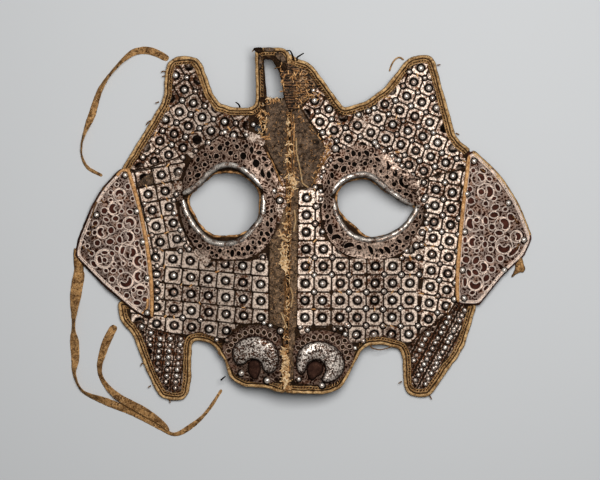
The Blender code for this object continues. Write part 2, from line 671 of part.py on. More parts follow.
def add_strap(name, rows):
    """A flat strap on the floor. Where it twists, its low edge stays on the floor."""
    found = rounded(rows, 12)
    curve = bpy.data.curves.new(name, "CURVE")
    curve.dimensions = "3D"
    curve.fill_mode = "FULL"
    widest = max(width for _, _, width, _, _ in found)
    edge = STRAP / 2 * MM
    curve.bevel_depth = edge
    curve.bevel_resolution = 0
    curve.extrude = widest / 2 * MM - edge
    curve.use_fill_caps = True
    curve.twist_mode = "Z_UP"
    spline = curve.splines.new("POLY")
    spline.points.add(len(found) - 1)
    for point, (x, y, width, twist, below) in zip(spline.points, found):
        turn = math.radians(twist)
        share = width / widest
        low_edge = share * (widest / 2 * abs(math.sin(turn)) + STRAP / 2 * abs(math.cos(turn)))
        point.co = (x * MM, y * MM, (low_edge + 0.1 + below) * MM, 1)
        point.radius = share
        point.tilt = math.pi / 2 + turn
    return add_part(name, mesh_of(curve, name), "strap_leather")


def add_thong():
    rows = [(x, y, 3.2 - 1.8 * k / len(THONG_RIGHT)) for k, (x, y) in enumerate(THONG_RIGHT)]
    add_part("thong_ear_right", tube("thong_ear_right", rounded(rows, 3), THONG), "strap_leather")


for leftover in list(bpy.data.objects):
    bpy.data.objects.remove(leftover, do_unlink=True)

parts = collection("horse_head_armour")
cutters = collection("cutters")
frame = bpy.data.objects.new("frame", None)
frame.location = (-CENTRE[0] * MM, -CENTRE[1] * MM, 0)
parts.objects.link(frame)

cutter_set = shared_cutters()
add_shell(cutter_set)
add_bindings(cutter_set)
add_paving(cutter_set)
add_eye("left", EYE_LEFT)
add_eye("right", EYE_RIGHT)
add_nostril("left", BOSSES["left"])
add_nostril("right", BOSSES["right"])
add_flap("left", FLAP_LEFT, HINGE_LEFT)
add_flap("right", FLAP_RIGHT, HINGE_RIGHT)
add_strap("tie_ear_left", TIE_EAR_LEFT)
add_strap("tie_flap_left", TIE_FLAP_LEFT)
add_strap("tie_jaw_left", TIE_JAW_LEFT)
add_strap("tie_stub_right", STUB_RIGHT)
add_thong()
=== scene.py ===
import math
import random
import bmesh
import bpy
from mathutils import Matrix, Vector, noise
from mathutils.bvhtree import BVHTree


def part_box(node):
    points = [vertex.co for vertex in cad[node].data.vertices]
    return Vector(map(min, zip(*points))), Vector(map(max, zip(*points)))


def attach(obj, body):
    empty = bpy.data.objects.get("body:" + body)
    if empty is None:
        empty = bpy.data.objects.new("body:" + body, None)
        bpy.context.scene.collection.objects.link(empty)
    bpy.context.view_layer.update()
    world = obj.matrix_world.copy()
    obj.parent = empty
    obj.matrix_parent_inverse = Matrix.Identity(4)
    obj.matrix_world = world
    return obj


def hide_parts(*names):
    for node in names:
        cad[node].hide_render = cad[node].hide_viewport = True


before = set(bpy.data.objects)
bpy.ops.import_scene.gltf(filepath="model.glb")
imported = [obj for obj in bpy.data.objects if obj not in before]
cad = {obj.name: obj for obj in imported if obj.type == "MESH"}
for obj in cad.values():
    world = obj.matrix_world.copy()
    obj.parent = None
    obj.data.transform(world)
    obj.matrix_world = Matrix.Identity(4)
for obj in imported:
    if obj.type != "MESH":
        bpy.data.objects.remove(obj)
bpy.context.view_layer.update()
dice = random.Random(14)

# Shapes are worked out in millimetres on the plan, flat, and then laid over the curved face
planMiddle = Vector((-6.5, -1.9, 0))
print("frame loaded,", len(cad), "nodes")


# Heights of the face and of the cheek flaps above the floor
face = {
    "crown": 42, "ridgeX": -15, "ridgeY": 40, "halfSpan": 240, "crownLoss": 12, "lift": 1.8,
    "poll": {"loss": 50, "length": 235}, "nose": {"loss": 85, "length": 270},
}
flapFall = {
    "left": ((-276, 103.5), (-253.5, -90)), "right": ((249, -94.5), (256.5, 111)),
    "start": 36, "width": 44, "over": 5.7,
}


def easeStep(share):
    share = min(1, max(0, share))
    return share * share * (3 - 2 * share)


def faceGround(x, y):
    end = face["poll"] if y > face["ridgeY"] else face["nose"]
    share = (y - face["ridgeY"]) / end["length"]
    span = face["halfSpan"] - end["loss"] * share ** 2
    crown = face["crown"] - face["crownLoss"] * share ** 2
    across = min(1, abs(x - face["ridgeX"]) / span)
    return face["lift"] + crown * math.cos(across * math.pi / 2) ** 2


def flapGround(x, y):
    start, end = (Vector(place) for place in flapFall["left" if x < 0 else "right"])
    beyond = (Vector((x, y)) - start).cross((end - start).normalized())
    fall = easeStep((beyond - flapFall["start"]) / flapFall["width"])
    return faceGround(x, y) + flapFall["over"] - (flapFall["over"] + face["lift"]) * fall


def flatGround(x, y):
    return 0


# Small helpers that build the materials
def webOf(tree, where, size, **settings):
    sockets = {"Vector": where, "Scale": 1 / size}
    return shaderNode(tree, "ShaderNodeTexVoronoi", sockets, **settings).outputs["Distance"]


def shaderNode(tree, kind, sockets=None, **settings):
    made = tree.nodes.new(kind)
    for key, value in settings.items():
        setattr(made, key, value)
    for key, value in (sockets or {}).items():
        if isinstance(value, bpy.types.NodeSocket):
            tree.links.new(value, made.inputs[key])
        else:
            made.inputs[key].default_value = value
    return made


def grain(tree, where, size, detail=5, rough=0.6, warp=0):
    sockets = {"Vector": where, "Scale": 1 / size, "Detail": detail, "Roughness": rough, "Distortion": warp}
    return shaderNode(tree, "ShaderNodeTexNoise", sockets).outputs["Fac"]


def sums(tree, operation, first, second=0.0, clamp=False):
    made = shaderNode(tree, "ShaderNodeMath", {0: first, 1: second}, operation=operation)
    made.use_clamp = clamp
    return made.outputs[0]


def between(tree, value, low, high):
    sockets = {"Value": value, "From Min": low, "From Max": high}
    return shaderNode(tree, "ShaderNodeMapRange", sockets, clamp=True).outputs[0]


def times(tree, first, second):
    return sums(tree, "MULTIPLY", first, second)


def swayed(tree, base, signal, share):
    # the base, moved up and down by a signal round one half
    return sums(tree, "ADD", base, times(tree, sums(tree, "SUBTRACT", signal, 0.5), share))


def attribute(tree, name):
    return shaderNode(tree, "ShaderNodeAttribute", attribute_name=name).outputs["Fac"]


def blendOf(tree, share, first, second):
    first = (*first, 1) if isinstance(first, tuple) else first
    second = (*second, 1) if isinstance(second, tuple) else second
    made = shaderNode(tree, "ShaderNodeMix", data_type="RGBA", blend_type="MIX")
    for index, value in ((0, share), (6, first), (7, second)):
        if isinstance(value, bpy.types.NodeSocket):
            tree.links.new(value, made.inputs[index])
        else:
            made.inputs[index].default_value = value
    return made.outputs[2]


def dimmed(colour, share):
    return tuple(c * share for c in colour)


def wandering(tree, where, size, amount):
    # the coordinates, drifting by an amount so that straight lines wave
    sockets = {"Vector": where, "Scale": 1 / size, "Detail": 1.0}
    drift = shaderNode(tree, "ShaderNodeTexNoise", sockets).outputs["Color"]
    steps = (("SUBTRACT", {1: (0.5, 0.5, 0.5)}), ("SCALE", {"Scale": amount}), ("ADD", {1: where}))
    for operation, sockets in steps:
        sockets[0] = drift
        drift = shaderNode(tree, "ShaderNodeVectorMath", sockets, operation=operation).outputs[0]
    return drift


def startMaterial(name):
    made = bpy.data.materials.new(name)
    made.use_nodes = True
    tree = made.node_tree
    coords = shaderNode(tree, "ShaderNodeTexCoord")
    where = shaderNode(tree, "ShaderNodeMapping", {"Vector": coords.outputs["Object"], "Scale": (1000,) * 3})
    return made, tree, tree.nodes["Principled BSDF"], where.outputs[0]


def bumpOf(tree, shader, height, depth, under=None):
    sockets = {"Height": height, "Distance": depth * 0.001, "Strength": 1.0}
    if under is not None:
        sockets["Normal"] = under
    made = shaderNode(tree, "ShaderNodeBump", sockets).outputs[0]
    tree.links.new(made, shader.inputs["Normal"])
    return made


def ironMaterial(name, looks):
    made, tree, shader, where = startMaterial(name)
    patches = grain(tree, where, looks["patch"], 4, 0.62, 0.6)
    flecks = grain(tree, where, looks["fleck"], 3, 0.7)
    pitting = grain(tree, where, looks["pit"], 2, 0.5)
    bright = swayed(tree, patches, flecks, looks["fleckShare"])
    bright = swayed(tree, bright, attribute(tree, "tone"), looks["toneShare"])
    bright = between(tree, bright, looks["from"], looks["to"])
    rust = between(tree, grain(tree, where, looks["patch"] * 1.7, 3, 0.6), looks["rustFrom"], looks["rustTo"])
    dull = blendOf(tree, rust, looks["dull"], looks["rust"])
    colour = blendOf(tree, bright, dull, looks["bright"])
    if "engrave" in looks:
        size = looks["engrave"]
        cells = webOf(tree, wandering(tree, where, size * 1.6, size * 2.2), size, feature="DISTANCE_TO_EDGE")
        walls = between(tree, cells, looks["wallFrom"], looks["wallTo"])
        hollows = between(tree, cells, looks["hollowFrom"], looks["hollowTo"])
        raised = sums(tree, "SUBTRACT", 1.0, attribute(tree, "clean"))  # raised lines stay clean
        colour = blendOf(tree, times(tree, walls, looks["wallShare"]), colour, looks["bright"])
        hollows = times(tree, times(tree, hollows, raised), looks["hollowShare"])
        colour = blendOf(tree, hollows, colour, looks["dark"])
    pits = between(tree, pitting, looks["pitFrom"], looks["pitFrom"] + looks["pitRange"])
    colour = blendOf(tree, times(tree, pits, looks["pitShare"]), colour, looks["dark"])
    # painted shade: the vertex attribute darkens the joints, the sunk rings round holes, the feet of heads,
    # the flanks of rims and the walls of holes, with some dirt; flecks break it up
    darkening = sums(tree, "ADD", looks["darkeningLeast"], times(tree, flecks, 0.5))
    darkening = sums(tree, "MULTIPLY", attribute(tree, "dirtAndShade"), darkening, clamp=True)
    colour = blendOf(tree, darkening, colour, looks["dark"])
    tree.links.new(colour, shader.inputs["Base Color"])
    metal = sums(tree, "SUBTRACT", looks["metal"], times(tree, darkening, looks["metal"] * 0.95))
    tree.links.new(metal, shader.inputs["Metallic"])
    rough = sums(tree, "SUBTRACT", looks["rough"], times(tree, bright, looks["polish"]))
    rough = sums(tree, "ADD", rough, times(tree, darkening, 0.2), clamp=True)
    tree.links.new(rough, shader.inputs["Roughness"])
    relief = sums(tree, "SUBTRACT", times(tree, flecks, 0.6), times(tree, pits, 0.8))
    bumpOf(tree, shader, relief, looks["relief"])
    shader.inputs["Specular IOR Level"].default_value = looks["gloss"]
    return made


def leatherMaterial(name, looks):
    made, tree, shader, where = startMaterial(name)
    patches = grain(tree, where, looks["patch"], 5, 0.6, 0.8)
    pores = webOf(tree, where, looks["pore"])
    fine = grain(tree, where, looks["pore"] * 1.4, 4, 0.7)
    stains = grain(tree, where, looks["patch"] * 2.6, 3, 0.5)
    stains = between(tree, stains, looks["stainFrom"], looks["stainTo"])
    scuffs = grain(tree, where, looks["scuff"], 6, 0.75, 1.5)
    scuffs = between(tree, scuffs, looks["scuffFrom"], looks["scuffFrom"] + looks["scuffRange"])
    colour = between(tree, patches, looks["lightFrom"], looks["lightTo"])
    colour = blendOf(tree, colour, looks["dark"], looks["light"])
    colour = blendOf(tree, times(tree, stains, looks["stainShare"]), colour, looks["stain"])
    colour = blendOf(tree, times(tree, scuffs, looks["scuffShare"]), colour, looks["worn"])
    spots = between(tree, grain(tree, where, looks["spot"], 2, 0.5), looks["spotFrom"], looks["spotTo"])
    darkening = dimmed(looks["dark"], looks["spotDark"])
    colour = blendOf(tree, times(tree, spots, looks["spots"]), colour, darkening)
    shade = times(tree, between(tree, attribute(tree, "tone"), 0.55, 0.0), looks["toneShare"])
    colour = blendOf(tree, shade, colour, dimmed(looks["dark"], looks["shadeDark"]))
    # painted shade: darker in the grooves of the bindings and round the edges and feet of raised pieces,
    # broken up by grain
    groove = times(tree, attribute(tree, "dirtAndShade"), between(tree, fine, 0.2, 0.5))
    colour = blendOf(tree, groove, colour, dimmed(looks["dark"], looks["grooveDark"]))
    tree.links.new(colour, shader.inputs["Base Color"])
    tree.links.new(swayed(tree, looks["rough"], fine, 0.3), shader.inputs["Roughness"])
    shader.inputs["Specular IOR Level"].default_value = looks["gloss"]
    under = bumpOf(tree, shader, pores, looks["relief"] * 0.5)
    cracks = sums(tree, "ADD", times(tree, fine, 0.8), times(tree, patches, 0.8))
    bumpOf(tree, shader, cracks, looks["relief"], under)
    return made


def clothMaterial(name, looks):
    made, tree, shader, where = startMaterial(name)
    waves = []
    for size, wobble, way in ((looks["thread"], 2.5, "X"), (looks["rib"], 6.0, "Y")):
        sockets = {"Vector": where, "Detail": 2.0, "Detail Scale": 1.5, "Scale": size, "Distortion": wobble}
        waves.append(shaderNode(tree, "ShaderNodeTexWave", sockets, bands_direction=way).outputs["Fac"])
    weave = times(tree, sums(tree, "ADD", 0.45, times(tree, waves[0], 0.55)), waves[1])
    worn = grain(tree, where, looks["patch"], 6, 0.75, 1.2)
    worn = between(tree, worn, looks["wornFrom"], looks["wornTo"])
    colour = blendOf(tree, weave, looks["dark"], looks["light"])
    colour = blendOf(tree, times(tree, worn, attribute(tree, "tone")), colour, looks["worn"])
    shadowPatches = grain(tree, where, looks["patch"] * 1.3, 4, 0.6)
    shadowPatches = between(tree, shadowPatches, looks["shadowFrom"], looks["shadowTo"])  # painted shadow in dark random patches
    colour = blendOf(tree, times(tree, shadowPatches, looks["shadowShare"]), colour, looks["dark"])
    tree.links.new(colour, shader.inputs["Base Color"])
    shader.inputs["Roughness"].default_value = looks["rough"]
    shader.inputs["Sheen Weight"].default_value = looks["sheen"]
    shader.inputs["Specular IOR Level"].default_value = looks["gloss"]
    bumpOf(tree, shader, sums(tree, "ADD", weave, worn), looks["relief"])
    return made


ironLooks = {
    "patch": 7.5, "fleck": 3.0, "pit": 2.0, "fleckShare": 1.6, "toneShare": 0.22, "from": 0.38, "to": 0.74,
    "dull": (0.094, 0.043, 0.023), "rust": (0.150, 0.060, 0.026), "bright": (0.85, 0.69, 0.57),
    "dark": (0.0035, 0.0018, 0.001), "pitFrom": 0.60, "pitShare": 0.85, "metal": 0.4, "rough": 0.50,
    "hollowFrom": 0.19, "hollowTo": 0.33, "wallFrom": 0.17, "wallTo": 0.06, "rustFrom": 0.48, "rustTo": 0.66,
    "pitRange": 0.09, "darkeningLeast": 0.72, "polish": 0.12, "relief": 0.6, "gloss": 0.025,
}
plateIron = ironMaterial("plateIron", ironLooks)
guardIron = ironMaterial("guardIron", {
    **ironLooks, "patch": 9, "dull": (0.054, 0.022, 0.012), "rust": (0.100, 0.036, 0.015), "from": 0.50,
    "to": 1.0, "bright": (0.93, 0.71, 0.57), "toneShare": 0.6, "engrave": 6.4, "wallShare": 0.34,
    "hollowShare": 0.9, "dark": (0.009, 0.004, 0.0025),
})
fanIron = ironMaterial("fanIron", {
    **ironLooks, "patch": 6, "dull": (0.044, 0.018, 0.010), "rust": (0.095, 0.034, 0.015), "from": 0.46,
    "to": 1.0, "bright": (0.88, 0.68, 0.55), "toneShare": 0.5, "engrave": 5.0, "wallShare": 0.16,
    "hollowShare": 0.9, "dark": (0.009, 0.004, 0.0025),
})
scrollIron = ironMaterial("scrollIron", {
    **ironLooks, "patch": 8, "dull": (0.062, 0.028, 0.018), "bright": (0.96, 0.82, 0.72), "from": 0.56,
    "to": 1.12, "toneShare": 0.7, "engrave": 6.2, "wallShare": 0.21, "hollowShare": 0.95,
    "dark": (0.020, 0.007, 0.004), "hollowFrom": 0.13, "hollowTo": 0.27,
})
domeIron = ironMaterial("domeIron", {
    **ironLooks, "patch": 4, "dull": (0.42, 0.25, 0.17), "bright": (1.0, 0.92, 0.83), "from": 0.26,
    "to": 0.60, "rough": 0.30, "polish": 0.06, "relief": 0.15, "metal": 0.68, "pitShare": 0.4,
    "fleckShare": 0.8, "dark": (0.004, 0.0018, 0.001),
})
rimIron = ironMaterial("rimIron", {
    **ironLooks, "patch": 11, "fleck": 2.0, "dull": (0.24, 0.14, 0.095), "bright": (0.98, 0.90, 0.81),
    "from": 0.34, "to": 0.56, "rough": 0.33, "polish": 0.08, "metal": 0.70, "pitFrom": 0.57, "pitShare": 0.85,
    "relief": 0.25, "fleckShare": 0.9,
})
bossIron = ironMaterial("bossIron", {
    **ironLooks, "patch": 14, "fleck": 2.6, "pit": 3.0, "dull": (0.085, 0.040, 0.023),
    "bright": (1.0, 0.89, 0.79), "from": 0.38, "to": 0.60, "rough": 0.48, "polish": 0.10, "metal": 0.55,
    "pitFrom": 0.52, "pitShare": 0.9, "relief": 0.5, "fleckShare": 1.6, "dark": (0.018, 0.008, 0.005),
})
leatherLooks = {
    "patch": 13, "pore": 1.1, "scuff": 4, "scuffFrom": 0.53, "scuffShare": 0.7, "rough": 0.72, "relief": 0.4,
    "dark": (0.012, 0.007, 0.004), "light": (0.055, 0.031, 0.017), "stain": (0.024, 0.012, 0.007),
    "worn": (0.19, 0.105, 0.050), "toneShare": 0.0, "spots": 0.35, "spot": 2.3, "stainShare": 0.55,
    "scuffRange": 0.12, "gloss": 0.06, "stainFrom": 0.45, "stainTo": 0.65, "lightFrom": 0.34, "lightTo": 0.66,
    "spotFrom": 0.60, "spotTo": 0.68, "spotDark": 0.3, "shadeDark": 0.35, "grooveDark": 0.16,
}
shellLeather = leatherMaterial("shellLeather", leatherLooks)
bandLeather = leatherMaterial("bandLeather", {
    **leatherLooks, "patch": 6, "scuff": 3.6, "pore": 2.0, "dark": (0.014, 0.008, 0.005),
    "light": (0.310, 0.210, 0.135), "stain": (0.054, 0.032, 0.020), "worn": (0.86, 0.50, 0.24),
    "scuffShare": 0.95, "scuffFrom": 0.55, "relief": 1.0, "spots": 0.8,
})
darkLeather = leatherMaterial("darkLeather", {
    **leatherLooks, "patch": 6, "scuff": 3.2, "pore": 2.0, "dark": (0.014, 0.009, 0.006),
    "light": (0.235, 0.165, 0.115), "stain": (0.046, 0.032, 0.023), "worn": (0.76, 0.42, 0.20),
    "scuffShare": 0.95, "scuffFrom": 0.56, "relief": 1.0, "spots": 0.8,
})
flapLeather = leatherMaterial("flapLeather", {
    **leatherLooks, "dark": (0.040, 0.014, 0.009), "light": (0.125, 0.046, 0.032),
    "stain": (0.030, 0.012, 0.008), "worn": (0.17, 0.075, 0.045), "scuffShare": 0.4,
})
bindingLeather = leatherMaterial("bindingLeather", {
    **leatherLooks, "patch": 7, "scuff": 2.6, "dark": (0.18, 0.086, 0.030), "light": (0.86, 0.57, 0.28),
    "stain": (0.27, 0.145, 0.055), "worn": (0.98, 0.77, 0.47), "scuffShare": 0.9, "rough": 0.74,
    "toneShare": 0.3, "spots": 0.85,
})
strapLeather = leatherMaterial("strapLeather", {
    **leatherLooks, "patch": 7, "scuff": 3, "dark": (0.075, 0.033, 0.011), "light": (0.60, 0.35, 0.150),
    "stain": (0.14, 0.068, 0.026), "worn": (0.90, 0.60, 0.31), "scuffShare": 0.85, "rough": 0.7, "pore": 1.8,
    "spots": 0.95,
})
threadTan = leatherMaterial("threadTan", {
    **leatherLooks, "patch": 4, "dark": (0.30, 0.130, 0.044), "light": (0.92, 0.56, 0.26),
    "stain": (0.38, 0.18, 0.07), "worn": (1.0, 0.76, 0.47), "scuffShare": 0.7, "rough": 0.85,
    "toneShare": 0.8,
})
threadCream = leatherMaterial("threadCream", {
    **leatherLooks, "patch": 4, "dark": (0.52, 0.30, 0.13), "light": (1.0, 0.76, 0.47),
    "stain": (0.62, 0.38, 0.18), "worn": (1.0, 0.90, 0.70), "scuffShare": 0.7, "rough": 0.85,
    "toneShare": 0.5,
})
padLeather = leatherMaterial("padLeather", {
    **leatherLooks, "dark": (0.030, 0.014, 0.010), "light": (0.085, 0.042, 0.030),
    "stain": (0.050, 0.024, 0.017), "worn": (0.20, 0.11, 0.07), "scuffShare": 0.5,
})
pipingTan = leatherMaterial("pipingTan", {
    **leatherLooks, "patch": 4, "scuff": 2.6, "dark": (0.28, 0.125, 0.042), "light": (0.92, 0.54, 0.25),
    "stain": (0.42, 0.20, 0.075), "worn": (1.0, 0.78, 0.50), "scuffShare": 0.7, "rough": 0.7,
})
# near-black leather: the dark thongs, and painted shade under the guards' piercing and in the seam's gap
blackLeatherAndShade = leatherMaterial("blackLeatherAndShade", {
    **leatherLooks, "dark": (0.004, 0.003, 0.002), "light": (0.012, 0.007, 0.005),
    "stain": (0.006, 0.004, 0.003), "worn": (0.03, 0.016, 0.010), "scuffShare": 0.3,
})
pollCloth = clothMaterial("pollCloth", {
    "thread": 0.13, "rib": 0.075, "patch": 4, "dark": (0.003, 0.0015, 0.001), "light": (0.38, 0.200, 0.100),
    "worn": (1.0, 0.66, 0.38), "shadowShare": 0.85, "rough": 0.92, "sheen": 0.15, "gloss": 0.2, "relief": 0.6,
    "wornFrom": 0.50, "wornTo": 0.60, "shadowFrom": 0.51, "shadowTo": 0.42,
})
print("materials made")


# Helpers that read the frame and shape the pieces, all in millimetres on the plan
def placed(name, data):
    made = bpy.data.objects.new(name, data)
    bpy.context.scene.collection.objects.link(made)
    return made


def meshOf(bm, name):
    mesh = bpy.data.meshes.new(name)
    bm.to_mesh(mesh)
    bm.free()
    return mesh


def bmeshFrom(holder):
    # what an object's modifiers or curve settings make of it
    made = bpy.data.meshes.new_from_object(holder.evaluated_get(bpy.context.evaluated_depsgraph_get()))
    bpy.data.objects.remove(holder)
    bm = bmesh.new()
    bm.from_mesh(made)
    bpy.data.meshes.remove(made)
    return bm


def vertsIn(geom):
    return [v for v in geom if isinstance(v, bmesh.types.BMVert)]


def frameMesh(node):
    bm = bmesh.new()
    bm.from_mesh(cad[node].data)
    bmesh.ops.scale(bm, verts=bm.verts, vec=(1000,) * 3)
    bmesh.ops.translate(bm, verts=bm.verts, vec=planMiddle)
    bmesh.ops.remove_doubles(bm, verts=bm.verts, dist=0.01)
    return bm


def topFaces(node):
    # the upper side only, pressed flat
    bm = frameMesh(node)
    bm.normal_update()
    bmesh.ops.delete(bm, geom=[f for f in bm.faces if f.normal.z < 0.25], context="FACES")
    bmesh.ops.scale(bm, verts=bm.verts, vec=(1, 1, 0))
    return bm


def spread(line):
    xs, ys = [p.x for p in line], [p.y for p in line]
    return max(xs) - min(xs) + max(ys) - min(ys)


def area(line):
    return sum(line[k - 1].cross(line[k]) for k in range(len(line))) / 2


def clockwise(line):
    return line if area(line) < 0 else line[::-1]


def edgeLines(bm):
    # the open edges as closed lines, the longest first
    after = {}
    for edge in bm.edges:
        if len(edge.link_loops) == 1:
            loop = edge.link_loops[0]
            after[loop.vert] = loop.link_loop_next.vert
    lines = []
    while after:
        vert = next(iter(after))
        line = []
        while vert in after:
            line.append(vert.co.xy.copy())
            vert = after.pop(vert)
        lines.append(line)
    bm.free()
    return sorted(lines, key=lambda line: -spread(line))


def resampled(line, spacing, closed=False):
    line = [Vector(p) for p in line]
    if closed:
        line = line + line[:1]
    lengths = [0]
    for a, b in zip(line, line[1:]):
        lengths.append(lengths[-1] + (b - a).length)
    count = max(3, round(lengths[-1] / spacing))
    made, k = [], 0
    for step in range(count + (not closed)):
        goal = lengths[-1] * step / count
        while k < len(line) - 2 and lengths[k + 1] < goal:
            k += 1
        run = lengths[k + 1] - lengths[k]
        made.append(line[k].lerp(line[k + 1], (goal - lengths[k]) / run if run else 0))
    return made


def softened(line, rounds, closed=False):
    line = list(line)
    for _ in range(rounds):
        last = list(line)
        for k in range(0 if closed else 1, len(line) if closed else len(line) - 1):
            line[k] = last[k] * 0.5 + (last[k - 1] + last[(k + 1) % len(line)]) * 0.25
    return line


def toTheRight(line, distance, closed=False):
    made = []
    for k, here in enumerate(line):
        back = line[k - 1] if k or closed else here
        ahead = line[(k + 1) % len(line)] if k < len(line) - 1 or closed else here
        way = (ahead - back).xy.normalized()
        made.append(here + Vector((way.y, -way.x)) * distance)
    return made


def depthOf(*nodes):
    bm = bmesh.new()
    for node in nodes:
        joined(bm, frameMesh(node))
    tree = BVHTree.FromBMesh(bm)
    bm.free()
    return tree


def topOf(tree, x, y):
    hit = tree.ray_cast(Vector((x, y, 200)), Vector((0, 0, -1)))[0]
    return None if hit is None else hit.z


def outFrom(x, y, reach, angle):
    return x + reach * math.cos(angle), y + reach * math.sin(angle)


def covered(tree, x, y, margin=0):
    spots = [(x, y)] + [outFrom(x, y, margin, k * math.pi / 4) for k in range(8 if margin else 0)]
    return sum(topOf(tree, *spot) is not None for spot in spots) / len(spots)


def softTop(tree, x, y, reach=2.5):
    steps = (-reach, 0, reach)
    tops = [topOf(tree, x + dx, y + dy) for dx in steps for dy in steps]
    tops = [top for top in tops if top is not None]
    return sum(tops) / len(tops) if tops else tree.find_nearest(Vector((x, y, 40)))[0].z


def within(line, spot):
    crossings = 0
    for a, b in zip(line, line[1:] + line[:1]):
        if (a.y > spot.y) != (b.y > spot.y) and spot.x < a.x + (b.x - a.x) * (spot.y - a.y) / (b.y - a.y):
            crossings += 1
    return crossings % 2 == 1


def distanceTo(line, spot):
    return min((p - spot).length for p in line)


def smoothLoop(points, rounds=3, spacing=3.0):
    return clockwise(softened(resampled(points, spacing, True), rounds, True))


def ruffle(place, size, seed=0):
    return noise.noise(Vector((place[0] / size, place[1] / size, seed * 7.31)))


def layOver(bm, ground):
    for vert in bm.verts:
        vert.co.z += ground(vert.co.x, vert.co.y)


def cutFine(bm, cell):
    xs, ys = [v.co.x for v in bm.verts], [v.co.y for v in bm.verts]
    for low, high, way in ((min(xs), max(xs), Vector((1, 0, 0))), (min(ys), max(ys), Vector((0, 1, 0)))):
        for k in range(math.floor(low / cell) + 1, math.ceil(high / cell)):
            geom = bm.verts[:] + bm.edges[:] + bm.faces[:]
            bmesh.ops.bisect_plane(bm, geom=geom, dist=0.001, plane_co=way * k * cell, plane_no=way)


def joined(bm, other):
    mesh = meshOf(other, "joined")
    bm.from_mesh(mesh)
    bpy.data.meshes.remove(mesh)
    return bm


def meshWith(bm, kind, **settings):
    # the mesh after one modifier
    mesh = meshOf(bm, "worked")
    holder = placed("worked", mesh)
    work = holder.modifiers.new("work", kind)
    for key, value in settings.items():
        setattr(work, key, value)
    bm = bmeshFrom(holder)
    bpy.data.meshes.remove(mesh)
    return bm


def keptOver(bm, node):
    # keeps what lies over the node's own plan
    block = topFaces(node)
    bmesh.ops.translate(block, verts=block.verts, vec=(0, 0, -5))
    made = bmesh.ops.extrude_face_region(block, geom=block.faces[:])["geom"]
    bmesh.ops.translate(block, verts=vertsIn(made), vec=(0, 0, 30))
    bmesh.ops.recalc_face_normals(block, faces=block.faces)
    mesh = meshOf(block, "block")
    cutter = placed("block", mesh)
    bm = meshWith(bm, "BOOLEAN", operation="INTERSECT", solver="EXACT", use_self=True, object=cutter)
    bpy.data.objects.remove(cutter)
    bpy.data.meshes.remove(mesh)
    return bm


def finished(name, bm, coat, nodes, slot, crease=50, ground=None):
    # lays the piece over its ground, turns the plan's millimetres into metres and makes the object
    if ground:
        layOver(bm, ground)
    for vert in bm.verts:
        vert.co.z = max(vert.co.z, 0.05)  # nothing dips into the surface it lies on
    bmesh.ops.translate(bm, verts=bm.verts, vec=-planMiddle)
    bmesh.ops.scale(bm, verts=bm.verts, vec=(0.001,) * 3)
    mesh = meshOf(bm, name)
    mesh.polygons.foreach_set("use_smooth", [True] * len(mesh.polygons))
    mesh.set_sharp_from_angle(angle=math.radians(crease))
    mesh.materials.clear()
    mesh.materials.append(coat)
    made = placed(name, mesh)
    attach(made, "root")
    if nodes:
        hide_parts(*nodes)
    return made


def curveMesh(rows, radius=0, profile=None, steps=1, closed=False, flat=None):
    # rows hold lines of (point, thickness share); profile is a closed line of (inwards, up)
    curve = bpy.data.curves.new("line", "CURVE")
    curve.dimensions = "2D" if flat else "3D"
    curve.twist_mode = "Z_UP"
    guide = None
    if flat:
        curve.fill_mode = "BOTH"
        curve.extrude = flat / 2
    elif profile:
        outline = bpy.data.curves.new("profile", "CURVE")
        outline.dimensions = "2D"
        spline = outline.splines.new("POLY")
        spline.points.add(len(profile) - 1)
        for point, (inwards, up) in zip(spline.points, profile):
            point.co = (inwards, up, 0, 1)
        spline.use_cyclic_u = True
        guide = placed("profile", outline)
        curve.bevel_mode = "OBJECT"
        curve.bevel_object = guide
    else:
        curve.bevel_depth = radius
        curve.bevel_resolution = steps
    curve.use_fill_caps = not closed and not flat
    for row in rows:
        spline = curve.splines.new("POLY")
        spline.points.add(len(row) - 1)
        for point, (place, share) in zip(spline.points, row):
            point.co = (place[0], place[1], place[2] if len(place) > 2 else 0, 1)
            point.radius = share
        spline.use_cyclic_u = closed or bool(flat)
    bm = bmeshFrom(placed("line", curve))
    if guide:
        bpy.data.objects.remove(guide)
    bmesh.ops.remove_doubles(bm, verts=bm.verts, dist=0.001)
    bmesh.ops.recalc_face_normals(bm, faces=bm.faces)
    return bm


def even(line):
    return [(place, 1) for place in line]


def threadRow(line, height, share=1, thinning=0, ground=faceGround):
    # a thread's points over its ground, thinner towards the far end
    row = []
    for k, p in enumerate(line):
        low = height if len(p) < 3 else p.z
        row.append(((p.x, p.y, ground(p.x, p.y) + low), share - thinning * k / len(line)))
    return row


def mark(bm, name, value):
    layer = bm.verts.layers.float.get(name) or bm.verts.layers.float.new(name)
    for vert in bm.verts:
        vert[layer] = value(vert) if callable(value) else value


def mouldOf(bm):
    for name, value in (("tone", 0.5), ("dirtAndShade", 0)):
        if name not in bm.verts.layers.float:
            mark(bm, name, value)
    return meshOf(bm, "mould")


def at(spot, z, **more):
    return {"x": spot[0], "y": spot[1], "z": z, **more}


def nudged(spot, amount):
    return spot[0] + dice.uniform(-amount, amount), spot[1] + dice.uniform(-amount, amount)


def strewn(mould, places):
    # a copy of the mould at each place
    bm = bmesh.new()
    for place in places:
        mesh = mould.copy()
        mesh.attributes["tone"].data.foreach_set("value", [place.get("tone", 0.5)] * len(mesh.vertices))
        turn = Matrix.Rotation(place.get("turn", 0), 4, "Z")
        leanAxis = Vector((math.cos(place.get("leanWay", 0)), math.sin(place.get("leanWay", 0)), 0))
        lean = Matrix.Rotation(place.get("lean", 0), 4, leanAxis)
        size = place.get("size", 1)
        scale = Matrix.Diagonal((*size, 1) if hasattr(size, "__len__") else (size, size, size, 1))
        mesh.transform(Matrix.Translation((place["x"], place["y"], place.get("z", 0))) @ lean @ turn @ scale)
        bm.from_mesh(mesh)
        bpy.data.meshes.remove(mesh)
    return bm


